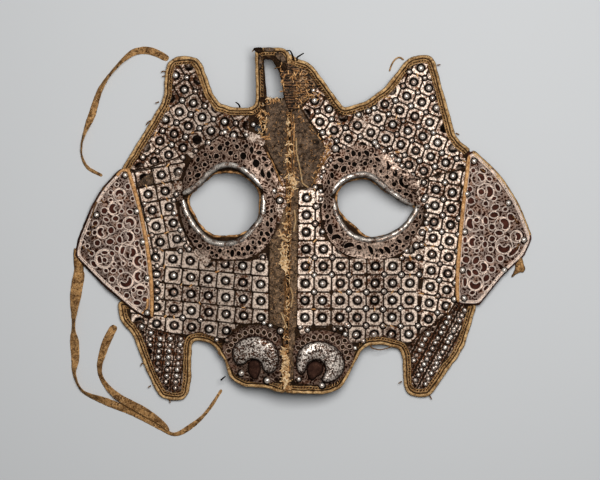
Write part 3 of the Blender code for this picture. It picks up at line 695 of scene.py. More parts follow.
def roughened(bm, amount, size, seed=1):
    bm.normal_update()
    moves = []
    for vert in bm.verts:
        swell = noise.noise(vert.co / size + Vector((0, 0, seed * 5.7)))
        moves.append(vert.normal * swell * amount)
    for vert, move in zip(bm.verts, moves):
        vert.co += move


def softCopy(node, rounds=1, swell=0.0, rough=0.25, size=5, seed=1):
    bm = frameMesh(node)
    bmesh.ops.join_triangles(
        bm, faces=bm.faces, angle_face_threshold=math.radians(25), angle_shape_threshold=math.radians(60),
    )
    bm = meshWith(bm, "SUBSURF", levels=rounds, render_levels=rounds)
    bm.normal_update()
    if swell:
        moves = [vert.normal * swell for vert in bm.verts]
        for vert, move in zip(bm.verts, moves):
            vert.co += move
    roughened(bm, rough, size, seed)
    return bm


# Moulds of the small iron pieces
headShape = {"skirt": 0.45, "shadeTo": 0.24, "shadeReach": 0.52}
domeShape = {**headShape, "radius": 4.7, "height": 4.6, "sides": 12, "rings": 8}
studShape = {**headShape, "radius": 3.9, "height": 3.7, "sides": 10, "rings": 6}
plateShape = {"side": 24.0, "thickness": 1.7, "hole": 6.9, "base": 3.4, "joint": 1.0}


def domeMould(shape):
    bm = bmesh.new()
    bmesh.ops.create_uvsphere(bm, u_segments=shape["sides"], v_segments=shape["rings"], radius=1)
    lower = [v for v in bm.verts if v.co.z < -0.01]
    bmesh.ops.delete(bm, geom=lower, context="VERTS")
    rim = [e for e in bm.edges if e.is_boundary]
    skirt = bmesh.ops.extrude_edge_only(bm, edges=rim)["geom"]
    bmesh.ops.translate(bm, verts=vertsIn(skirt), vec=(0, 0, -shape["skirt"]))
    bmesh.ops.holes_fill(bm, edges=[e for e in bm.edges if e.is_boundary], sides=0)
    bmesh.ops.scale(bm, verts=bm.verts, vec=(shape["radius"], shape["radius"], shape["height"]))
    bmesh.ops.recalc_face_normals(bm, faces=bm.faces)
    # painted shade: darker towards the foot, so the head sits in a dark ring and reads lit on top
    low, reach = shape["shadeTo"], shape["shadeReach"]
    mark(bm, "dirtAndShade", lambda v: 1 - easeStep((v.co.z / shape["height"] - low) / reach))
    return mouldOf(bm)


def plateMould(width, length, corner, hole):
    bm = bmesh.new()
    bmesh.ops.create_grid(bm, x_segments=1, y_segments=1, size=0.5)
    bmesh.ops.scale(bm, verts=bm.verts, vec=(width, length, 1))
    bmesh.ops.bevel(
        bm, geom=bm.verts[:], offset=corner, segments=1, profile=0.5, affect="VERTICES", material=-1,
    )
    sides = [e for e in bm.edges if e.calc_length() > corner * 1.5 + 1]
    bmesh.ops.subdivide_edges(bm, edges=sides, cuts=1)
    upper = bmesh.ops.extrude_face_region(bm, geom=bm.faces[:])["geom"]
    bmesh.ops.translate(bm, verts=vertsIn(upper), vec=(0, 0, plateShape["thickness"]))
    top = [f for f in upper if isinstance(f, bmesh.types.BMFace)]
    bmesh.ops.recalc_face_normals(bm, faces=bm.faces)
    # painted shade: the plate's sides, its edge and the sunk ring round the hole are marked dark, where the
    # joints and the hole lie in shade
    dirtAndShade = bm.verts.layers.float.new("dirtAndShade")
    for vert in bm.verts:
        vert[dirtAndShade] = 1
    rings = [(0.4, 0.25, 0.55, 0), (1.1, 0.0, 0.0, 0)]  # inset, rise, darkening, circle
    if hole:
        rings += [(0.1, 0.0, 0.0, hole + 2.2), (0.1, 0.0, 0.8, hole + 0.35), (0.1, -1.5, 1.0, hole)]
    for inset, rise, darkening, circle in rings:
        bmesh.ops.inset_region(bm, faces=top, thickness=inset, depth=0)
        for vert in top[0].verts:
            if circle:
                most = min(width, length) / 2 - 1.0 + 0.12 * (circle - hole)
                vert.co.xy = vert.co.xy.normalized() * (min(circle, most) if circle > hole + 1 else circle)
            vert.co.z += rise
            vert[dirtAndShade] = darkening
    return mouldOf(bm)


# a near-black disc: painted shadow round a head, and the painted shade of a nail hole
def ringMould(radius, depth=0.7):
    bm = bmesh.new()
    bmesh.ops.create_cone(bm, cap_ends=True, segments=12, radius1=radius, radius2=radius * 0.93, depth=depth)
    mark(bm, "dirtAndShade", 1)
    return mouldOf(bm)


dome = domeMould(domeShape)
stud = domeMould(studShape)
cutPlate = plateMould(plateShape["side"], plateShape["side"], 2.8, plateShape["hole"])
squarePlate = plateMould(plateShape["side"], plateShape["side"], 1.6, plateShape["hole"])
stripTile = plateMould(14.5, 9.2, 1.3, 4.45)
studRing = ringMould(studShape["radius"] + 1.8)
nailHole = ringMould(1.25, 0.3)
blankPlate = plateMould(16, 15, 2.2, 0)
print("moulds made")


# Leather of the shell, the bands down the middle, the forehead panels and the flaps
leather = {
    "shell": {"low": 0, "thick": 3.0, "cell": 9, "wave": 0.25, "size": 22, "edge": 0.5},
    "band": {"low": 3.2, "thick": 1.6, "cell": 3.5, "wave": 0.55, "size": 13, "edge": 0.7},
    "flap": {"low": 0, "thick": 2.5, "cell": 6, "wave": 0.2, "size": 20, "edge": 0.4},
    "edgeDrop": 0.3,
}


def walled(piece, thick):
    wall = piece.modifiers.new("wall", "SOLIDIFY")
    wall.thickness = thick * 0.001
    wall.offset = -1
    return piece


def leatherSheet(name, node, coat, slot, kind, ground, seed):
    cut = leather[kind]
    bm = topFaces(node)
    cutFine(bm, cut["cell"])
    rim = {v for e in bm.edges if e.is_boundary for v in e.verts}
    for vert in bm.verts:
        x, y = vert.co.xy
        swell = ruffle((x, y), cut["size"], seed) + 0.5 * ruffle((x, y), cut["size"] * 0.35, seed + 3)
        vert.co.z = cut["low"] + cut["thick"] + cut["wave"] * swell
        if vert in rim:
            vert.co.x += cut["edge"] * ruffle((x, y), 4, seed + 5)
            vert.co.y += cut["edge"] * ruffle((x, y), 4, seed + 6)
            vert.co.z -= leather["edgeDrop"]
    layOver(bm, ground)
    for vert in bm.verts:
        vert.co.z = max(vert.co.z, cut["thick"] + 0.3)  # the underside stays above the floor
    bmesh.ops.recalc_face_normals(bm, faces=bm.faces)
    if sum(face.normal.z for face in bm.faces) < 0:
        bmesh.ops.reverse_faces(bm, faces=bm.faces)
    walled(finished(name, bm, coat, [node], slot), cut["thick"])


for side, seed in (("left", 1), ("right", 2)):
    for name, node, coat, slot, kind, ground, extra in (
        ("shell", "backing", shellLeather, "shell_leather", "shell", faceGround, 0),
        ("band", "centre_band", bandLeather, "dark_leather", "band", faceGround, 10),
        ("forehead", "forehead_panel", darkLeather, "dark_leather", "band", faceGround, 20),
        ("flap", "flap_leather", flapLeather, "shell_leather", "flap", flapGround, 30),
    ):
        leatherSheet(f"{name}_{side}", f"{node}_{side}", coat, slot, kind, ground, seed + extra)
print("leather cut")


# Iron plates in their fields. A grid starts at a plate's centre, steps along a row and then down
def gridOf(start, step, down, columns, rows, **more):
    made = {"start": Vector(start), "step": Vector(step), "down": Vector(down)}
    return {**made, "columns": columns, "rows": rows, **more}


paving = {
    "temple_left": {
        "node": "plates_temple_left", "mould": cutPlate, "studShare": 1.0, "pale": -0.05,
        "grids": [gridOf(
            (-180.8, 225.5), (20.7, 13.4), (13.4, -20.9), (-6, 3), (-2, 5), bend=(-0.15, 0.53),
            lost=[(-1, 3), (-3, 4)],
        )],
    },
    "temple_right": {
        "node": "plates_temple_right", "mould": cutPlate, "studShare": 1.0,
        "grids": [
            gridOf((141.9, 194), (22.5, -8.9), (-10.5, -21.3), (-2, 6), (-4, 6), reach=(96, 400), pale=0.15),
            gridOf((43.5, 163.5), (21.3, -12.3), (-13.5, -19.5), (-4, 4), (-6, 3), reach=(-60, 88)),
        ],
    },
    "cheek_left": {
        "node": "plates_cheek_left", "mould": squarePlate, "studShare": 0.10, "nailShare": 0.4, "pale": 0.5,
        "grids": [
            gridOf((-197.4, -53.4), (26.2, -2.5), (0.45, -24.9), (-2, 6), (-1, 4), top=-16),
            gridOf((-223.1, 20.6), (25.5, 4.7), (5.9, -24.0), (-2, 3), (-4, 2), bottom=-16, lost=[(0, -3)]),
        ],
    },
    "cheek_right": {
        "node": "plates_cheek_right", "mould": cutPlate, "studShare": 0.8, "nailShare": 0.06, "pale": 0.38,
        "grids": [
            gridOf((53.1, -39.3), (26.1, 0), (-0.45, -25.5), (-3, 5), (-6, 5), reach=(-60, 171)),
            gridOf((189, -45.9), (24.8, -4.5), (-1.4, -24.3), (0, 3), (-8, 5), reach=(171, 400)),
        ],
    },
}

# Heights of domes, studs, nails and small plates, and how far a plate tilts and swings, in degrees
laying = {
    "domeLow": 3.9, "studLow": 5.1, "nailLow": 5.65, "nailOut": 0.37, "smallLow": 3.2, "smallGap": 10.5,
    "smallStudLow": 4.6, "ringOver": 0.35, "tilt": 1.1, "swing": 1.8,
}


def gridPlace(grid, i, j):
    bend = Vector(grid.get("bend", (0, 0))) * i * i
    return grid["start"] + grid["step"] * i + grid["down"] * j + bend


def gridCells(grid):
    return [(i, j) for i in range(*grid["columns"]) for j in range(*grid["rows"])]


def gridTurn(grid):
    return math.atan2(grid["step"].y, grid["step"].x)


def inGrid(grid, spot):
    low, high = grid.get("reach", (-500, 500))
    return low < spot.x < high and grid.get("bottom", -500) < spot.y < grid.get("top", 500)


def headAt(spot, low, wander, sizes):
    return at(
        nudged(spot, wander), low, size=dice.uniform(*sizes), tone=dice.random(), turn=dice.uniform(0, 3),
    )


def layField(name, field):
    tree = depthOf(field["node"])
    whole, partial, domeSpots, studSpots, nails = [], [], [], [], []
    for grid in field["grids"]:
        fit = [(grid[way].length - plateShape["joint"]) / plateShape["side"] for way in ("step", "down")]
        turn = gridTurn(grid)
        for i, j in gridCells(grid):
            spot = gridPlace(grid, i, j)
            corner = (spot + gridPlace(grid, i + 1, j + 1)) / 2
            room = inGrid(grid, corner) and covered(tree, *corner, 3.0) == 1
            if room and dice.random() < field["studShare"]:
                studSpots.append(headAt(corner, laying["studLow"], 0.6, (0.92, 1.08)))
            share = covered(tree, *spot, 15)
            if not inGrid(grid, spot) or share == 0:
                continue
            (whole if share == 1 else partial).append(at(
                spot, plateShape["base"] + dice.uniform(0, 0.3),
                turn=turn + math.radians(dice.uniform(-laying["swing"], laying["swing"])),
                tone=dice.random() + grid.get("pale", 0) + field.get("pale", 0),
                lean=math.radians(dice.uniform(0, laying["tilt"])), leanWay=dice.uniform(0, 6.3),
                size=(*(way * dice.uniform(0.97, 1.0) for way in fit), dice.uniform(0.9, 1.05)),
            ))
            for across, down in ((1, 1), (1, -1), (-1, 1), (-1, -1)):
                if share == 1 and dice.random() < field.get("nailShare", 0):
                    out = laying["nailOut"]
                    nail = spot + grid["step"] * across * out + grid["down"] * down * out
                    nails.append(at(nail, laying["nailLow"], size=dice.uniform(0.8, 1.1)))
            if (i, j) not in grid.get("lost", []) and covered(tree, *spot, 3.8) == 1:
                domeSpots.append(headAt(spot, laying["domeLow"], 0.5, (0.94, 1.05)))
    plates = strewn(field["mould"], whole)
    if partial:
        joined(plates, keptOver(strewn(field["mould"], partial), field["node"]))
    layOver(plates, faceGround)
    laid = BVHTree.FromBMesh(plates)
    finished(f"plates_{name}", plates, plateIron, [field["node"]], "paving_iron", 35)
    fillers, moreStuds = gapFillers(field["node"], tree, laid, turn)
    studSpots += moreStuds
    if fillers:
        small = strewn(blankPlate, fillers)
        finished(f"small_plates_{name}", small, plateIron, [], "paving_iron", 35, faceGround)
    # painted shade: black discs for the nail holes
    if nails:
        finished(f"nail_holes_{name}", strewn(nailHole, nails), plateIron, [], "paving_iron", 40, faceGround)
    print(name, len(whole) + len(partial), "plates,", len(domeSpots), "domes,", len(studSpots), "studs")
    return domeSpots, studSpots


def gapFillers(node, tree, laid, turn):
    # small plates in the gaps left between the rows, with a stud where the gap is wide
    low, high = (Vector(corner) * 1000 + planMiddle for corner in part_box(node))
    fillers, studs = [], []
    across, upward = range(int(low.x), int(high.x), 3), range(int(low.y), int(high.y), 3)
    for spot in (Vector((x, y)) for x in across for y in upward):
        if covered(tree, *spot, 3.0) < 1 or covered(laid, *spot, 3.4) > 0:
            continue
        if all((spot - Vector((other["x"], other["y"]))).length > laying["smallGap"] for other in fillers):
            angle = turn + dice.uniform(-0.2, 0.2)
            fillers.append(at(spot, laying["smallLow"], turn=angle, size=0.8, tone=dice.random()))
            if covered(laid, *spot, 5.5) < 0.3:
                size = dice.uniform(0.9, 1.05)
                studs.append(at(spot, laying["smallStudLow"], size=size, tone=dice.random()))
    return fillers, studs


def setDomes(name, domeSpots, studSpots):
    heads = joined(strewn(dome, domeSpots), strewn(stud, studSpots))
    finished(f"domes_{name}", heads, domeIron, [], "bright_iron", 60, faceGround)
    # painted shadow: a dark disc round each stud
    if studSpots:
        rings = strewn(studRing, [{**spot, "z": spot["z"] + laying["ringOver"]} for spot in studSpots])
        finished(f"stud_rings_{name}", rings, plateIron, [], "paving_iron", 40, faceGround)


for name, field in paving.items():
    setDomes(name, *layField(name, field))


# Strips of studs on the two jaw lobes
jaws = {
    "left": gridOf((-202.7, -157.5), (15, 0), (-1.0, -9.2), (-4, 5), (-4, 12)),
    "right": gridOf((199.2, -146.9), (15.1, -5.9), (-4.2, -7.9), (-6, 6), (-10, 12)),
}
for side, grid in jaws.items():
    node = f"studs_jaw_{side}"
    tree = depthOf(node)
    whole, partial, heads = [], [], []
    for i, j in gridCells(grid):
        if j == grid["rows"][0]:
            tone = dice.random()  # one shade for each strip
        spot = gridPlace(grid, i, j)
        share = covered(tree, *spot, 8)
        if share == 0:
            continue
        (whole if share == 1 else partial).append(at(
            spot, plateShape["base"] + 0.25 * ((j // 5 + i) % 2), turn=gridTurn(grid),
            tone=tone * 0.7 + dice.random() * 0.3 - 0.5,
        ))
        if covered(tree, *spot, 2.6) == 1:
            heads.append(headAt(spot, laying["domeLow"], 0.4, (0.92, 1.04)))
    strips = joined(strewn(stripTile, whole), keptOver(strewn(stripTile, partial), node))
    finished(f"strips_jaw_{side}", strips, plateIron, [node], "paving_iron", 35, faceGround)
    setDomes(f"jaw_{side}", [], heads)
print("paving laid")


# Pierced iron. A leaf has a place, length, width, turn and bend, a star a place, size, points, turn and
# stretch, and a crescent a place, radius, width, start and end
holeShape = {
    "leafTip": 0.12, "leafFull": 0.55, "leafSag": 0.6, "starWaist": 0.62, "starSize": 0.5, "starWiden": 0.2,
    "crescentTip": 0.2, "crescentFull": 0.5,
}


def rayAt(angle):
    return Vector((math.cos(angle), math.sin(angle)))


def leafHole(x, y, length, width, turn, bend=0.0, widen=1.0):
    way = rayAt(math.radians(turn))
    side = Vector((-way.y, way.x))
    upper, lower = [], []
    for share in (k / 6 for k in range(7)):
        arch = side * bend * (4 * share * (1 - share) - holeShape["leafSag"])
        middle = Vector((x, y)) + way * (share - 0.5) * length + arch
        swell = math.sin(math.pi * share) ** holeShape["leafFull"]
        half = width * widen / 2 * max(holeShape["leafTip"], swell)
        upper.append(middle + side * half)
        lower.append(middle - side * half)
    return upper + lower[::-1]


def starHole(x, y, size, points, turn, long=1.0, widen=1.0):
    made = []
    grown = holeShape["starSize"] + holeShape["starWiden"] * (widen - 1)
    for k in range(points * 2):
        reach = size * grown * (holeShape["starWaist"] if k % 2 else 1.0)
        angle = math.pi * k / points
        spot = Vector((math.cos(angle) * reach * long, math.sin(angle) * reach))
        spot.rotate(Matrix.Rotation(math.radians(turn), 2))
        made.append(Vector((x, y)) + spot)
    return made


def crescentHole(x, y, radius, width, start, end, widen=1.0):
    inner, outer = [], []
    for share in (k / 10 for k in range(11)):
        ray = rayAt(math.radians(start + (end - start) * share))
        swell = math.sin(math.pi * share) ** holeShape["crescentFull"]
        half = width * widen / 2 * max(holeShape["crescentTip"], swell)
        inner.append(Vector((x, y)) + ray * (radius - half))
        outer.append(Vector((x, y)) + ray * (radius + half))
    return outer + inner[::-1]


holeShapes = {"leaf": leafHole, "star": starHole, "crescent": crescentHole}


def piercedPlate(name, node, holes, coat, work):
    tree = depthOf(node)
    if "outer" in work:
        rims = [smoothLoop(line) for line in (work["outer"], *work.get("inner", ()))]
    else:
        rims = [toTheRight(smoothLoop(edgeLines(topFaces(node))[0], 2), -work["grow"], True)]

    def topAt(x, y):
        return max(softTop(tree, x, y), work["ground"](x, y) + work["least"]) + work.get("lift", 0)

    def lifted(spot):
        return spot.x, spot.y, topAt(spot.x, spot.y) + work["ridgeOver"]

    def onIron(spot, margin):
        if not within(rims[0], spot) or any(within(line, spot) for line in rims[1:]):
            return False
        return margin == 0 or min(distanceTo(line, spot) for line in rims) > margin

    def toneAt(vert):
        tone = 0.30 + work.get("shade", 0) + 0.5 * ruffle(vert.co, 14, 4)
        return tone + sum(
            gain * math.exp(-(vert.co.xy - Vector((x, y))).length_squared / reach ** 2)
            for x, y, reach, gain in work.get("paler", ())
        )

    def addRidge(row, radius, closed):
        ridge = curveMesh([row], radius=radius, steps=0, closed=closed)
        for label, value in (("tone", work["ridgeTone"]), ("dirtAndShade", 0.0), ("clean", 1.0)):
            mark(ridge, label, value)
        joined(bm, ridge)

    kept = []
    for hole in holes:
        line = holeShapes[hole[0]](*hole[1:], widen=work["widen"])
        clear = all(distanceTo(other, spot) > work["apart"] for other in kept for spot in line)
        if clear and all(onIron(spot, work["margin"]) for spot in line):
            kept.append(line)
    bm = curveMesh([even(line) for line in rims + kept], flat=work["thick"])
    cutFine(bm, work["cell"])
    for vert in bm.verts:
        x, y = vert.co.xy
        vert.co.z += topAt(x, y) - work["thick"] / 2 + work["dent"] * ruffle((x, y), 9, 2)
    bmesh.ops.recalc_face_normals(bm, faces=bm.faces)
    mark(bm, "tone", toneAt)
    # painted shade on the side walls of the plate and of its holes
    walls = {v for f in bm.faces if abs(f.normal.z) < 0.4 for v in f.verts}
    mark(bm, "dirtAndShade", lambda v: 0.9 if v in walls else 0.0)
    mark(bm, "clean", 0.0)
    # raised lines round the crescents, beside the holes and along the edges
    for hole in holes if "rings" in work else ():
        if hole[0] != "crescent":
            continue
        reach = hole[3] + hole[4] / 2 + work["rings"]
        circle = [Vector(outFrom(*hole[1:3], reach, k * 0.21)) for k in range(30)]
        free = [onIron(spot, 0.5) and not any(within(other, spot) for other in kept) for spot in circle]
        for k in range(len(circle)):
            if free[k] and free[k - 1]:
                addRidge(even([lifted(p) for p in (circle[k - 1], circle[k])]), work["ridge"], False)
    lines = [(toTheRight(clockwise(line), -work["ridgeGap"], True), work["ridge"]) for line in kept]
    for k, rim in enumerate(rims):
        for gap in work.get("borders", ()):
            lines.append((toTheRight(clockwise(rim), -gap if k else gap, True), work["ridge"] * 1.2))
    for line, radius in lines:
        line = [spot for spot in resampled(softened(line, 1, True), 1.7, True) if onIron(spot, 0)]
        if len(line) > 4:
            addRidge([(lifted(p), 1 + 0.3 * ruffle(p, 5)) for p in line], radius, True)
    print(name, len(kept), "of", len(holes), "holes")
    return finished(name, bm, coat, [node], "guard_iron", 40)


# Scrollwork of the flaps
scrolls = {
    "left": [
        ("crescent", -277.5, 68, 4.6, 2.8, -25, 215), ("crescent", -285, 47, 5.4, 3.2, 70, 300),
        ("crescent", -263, 25, 4.8, 3.0, -60, 180), ("crescent", -266, 4, 5.6, 3.0, -80, 110),
        ("crescent", -303, 12, 4.8, 3.0, 80, 290), ("crescent", -262, -18.5, 5.6, 3.2, -90, 75),
        ("crescent", -262, -18.5, 12, 2.6, 135, 195), ("crescent", -300.5, -28, 7.5, 2.8, 150, 235),
        ("crescent", -300.5, -28, 9.5, 2.8, 60, 115), ("crescent", -269, -60.5, 7.2, 3.2, -170, 50),
        ("crescent", -247, -31.5, 6.0, 3.0, 60, 290), ("crescent", -247, -54.5, 5.2, 3.0, 80, 280),
        ("crescent", -247, -79, 8.0, 2.6, 30, 135), ("leaf", -247, -79, 5.5, 3.6, 90),
        ("star", -282, 83, 6, 3, 10), ("leaf", -265, 80, 8, 3.6, 80), ("star", -291, 71, 6, 4, 30),
        ("star", -258, 62, 6, 4, 60), ("leaf", -291, 60, 5, 2, 10), ("leaf", -276, 56, 7, 2.4, -40),
        ("star", -300.5, 43.5, 8.5, 5, 0), ("leaf", -262, 42, 6.5, 4.4, 75),
        ("leaf", -274.5, 43, 5.5, 2.6, 80), ("leaf", -283.5, 32, 9, 3.6, 5),
        ("leaf", -297.5, 30.5, 8.5, 2.6, -30), ("leaf", -314, 25, 8.5, 3.4, 30),
        ("star", -277.5, 21, 8, 4, 45), ("star", -251.5, 14, 8, 3, 60), ("leaf", -290.5, 14.5, 10, 4.2, 86),
        ("leaf", -315, 11, 7, 2.8, 65), ("leaf", -325, 10, 6, 2.6, 80),
        ("leaf", -277.5, 0.5, 11, 3.4, 100, 1.4), ("star", -292, -2.5, 9, 4, 10, 1.3),
        ("star", -311, -4.5, 8, 5, 20), ("leaf", -326, -9, 5, 2.6, 60), ("star", -319.5, -20, 7, 4, 10),
        ("leaf", -281.5, -13, 8, 2.8, -60), ("leaf", -289, -20, 8, 3.2, -50),
        ("leaf", -272, -34.5, 4, 3.4, 0), ("star", -262, -36, 5.5, 3, 80), ("star", -286, -36, 5, 4, 0),
        ("leaf", -316, -36, 12, 3.2, -48), ("leaf", -298, -46, 6, 2.6, -30),
        ("leaf", -286.5, -46, 8, 2.6, 30), ("star", -276, -46.5, 6.5, 4, 30), ("star", -289, -59, 8, 5, 0),
        ("leaf", -281.5, -73.5, 9, 3.2, -50), ("star", -267, -83, 8, 4, 20), ("leaf", -257, -75, 7, 2.4, 80),
        ("leaf", -240, -89, 8, 4, 70), ("leaf", -251.5, -94, 12, 3.4, -8),
        ("leaf", -251.5, -5, 8, 3.0, 80, 1.0), ("leaf", -240.5, -18, 5, 2.6, 80),
        ("leaf", -239.5, -35, 9, 2.8, 86), ("leaf", -237.5, -66, 4, 2.2, 60), ("leaf", -306, 60, 8, 2.4, 48),
        ("leaf", -333, -4, 7, 2.4, 60), ("leaf", -300, -30, 6, 3.6, 40),
    ],
    "right": [
        ("crescent", 260, 92, 5.6, 3.2, -40, 110), ("crescent", 270.5, 72, 7.2, 4.0, -80, 80),
        ("leaf", 264, 72, 9, 4.4, 75), ("crescent", 253, 25, 7.0, 4.0, 115, 260),
        ("leaf", 257, 30, 7, 3.2, 30), ("crescent", 295.5, 23, 5.8, 4.6, -85, 125),
        ("crescent", 298, -8.5, 7.2, 4.0, 165, 370), ("crescent", 254, -3.5, 4.8, 3.2, 80, 262),
        ("crescent", 316.5, 5, 4.2, 3.0, -95, 115), ("crescent", 264, -41, 5.0, 3.6, -105, 100),
        ("crescent", 255, -64, 6.4, 3.8, 160, 370), ("leaf", 276, 91.5, 5.5, 3.8, 60),
        ("star", 270.5, 54.5, 9, 3, 80), ("star", 248.5, 58.5, 13, 3, 95), ("star", 247.5, 40.5, 10, 3, 70),
        ("leaf", 285, 49, 12, 4.2, 20), ("leaf", 283, 37.5, 13, 4.0, 5), ("leaf", 288.5, 78.5, 13, 3.0, -65),
        ("leaf", 266.5, 103.5, 11, 3.0, -28), ("leaf", 300, 46, 7, 2.6, 20),
        ("leaf", 308.5, 34, 12, 4.6, -52), ("leaf", 270.5, 29, 12, 3.2, 100),
        ("leaf", 264.5, 18.5, 7, 2.8, -50), ("star", 280, 19.5, 9, 4, 30), ("leaf", 290.5, 10.5, 12, 3.6, -5),
        ("leaf", 301, 2.5, 6, 2.4, -30), ("star", 280, 1.5, 9, 4, 20), ("star", 264, 2, 7, 3, 30),
        ("leaf", 269.5, -6.5, 9, 3.2, 80), ("star", 278, -14, 7, 4, 45), ("leaf", 257.5, -16, 6, 2.4, 30),
        ("star", 292.5, -27.5, 9, 4, 30), ("leaf", 312.5, -17, 22, 3.4, 42), ("star", 241, -15, 8, 3, 80),
        ("star", 241, -29.5, 11, 4, 20), ("leaf", 239.5, 0, 10, 2.6, 85), ("leaf", 256, -30.5, 13, 4.0, 55),
        ("leaf", 276, -28.5, 13, 4.4, -42), ("leaf", 255, -48.5, 11, 3.6, -38), ("star", 280, -44, 9, 4, 45),
        ("leaf", 271.5, -57, 12, 4.2, 58), ("leaf", 239.5, -63, 15, 2.6, 88),
        ("leaf", 245.5, -49.5, 12, 3.0, 112), ("leaf", 250.5, -79, 8, 2.8, 20),
        ("leaf", 246.5, 76, 8, 4.0, 80), ("leaf", 252, 104, 7, 3, 70), ("leaf", 283, 62, 8, 2.4, 30),
        ("leaf", 271, -72, 10, 2.4, 50),
    ],
}
piercing = {"margin": 1.9, "apart": 1.5, "ridgeOver": 0.15}
scrollWork = {
    **piercing, "thick": 1.5, "cell": 6, "ridge": 0.9, "ridgeGap": 1.2, "ridgeTone": 1.7, "rings": 3.4,
    "shade": -0.5, "borders": (1.3, 3.8), "lift": 0.1, "dent": 0.2, "widen": 1.95, "ground": flapGround,
    "least": 4.6, "grow": 3.8,
}
for side, holes in scrolls.items():
    piercedPlate(f"scroll_{side}", f"flap_scroll_{side}", holes, scrollIron, scrollWork)
print("flap scrolls pierced")

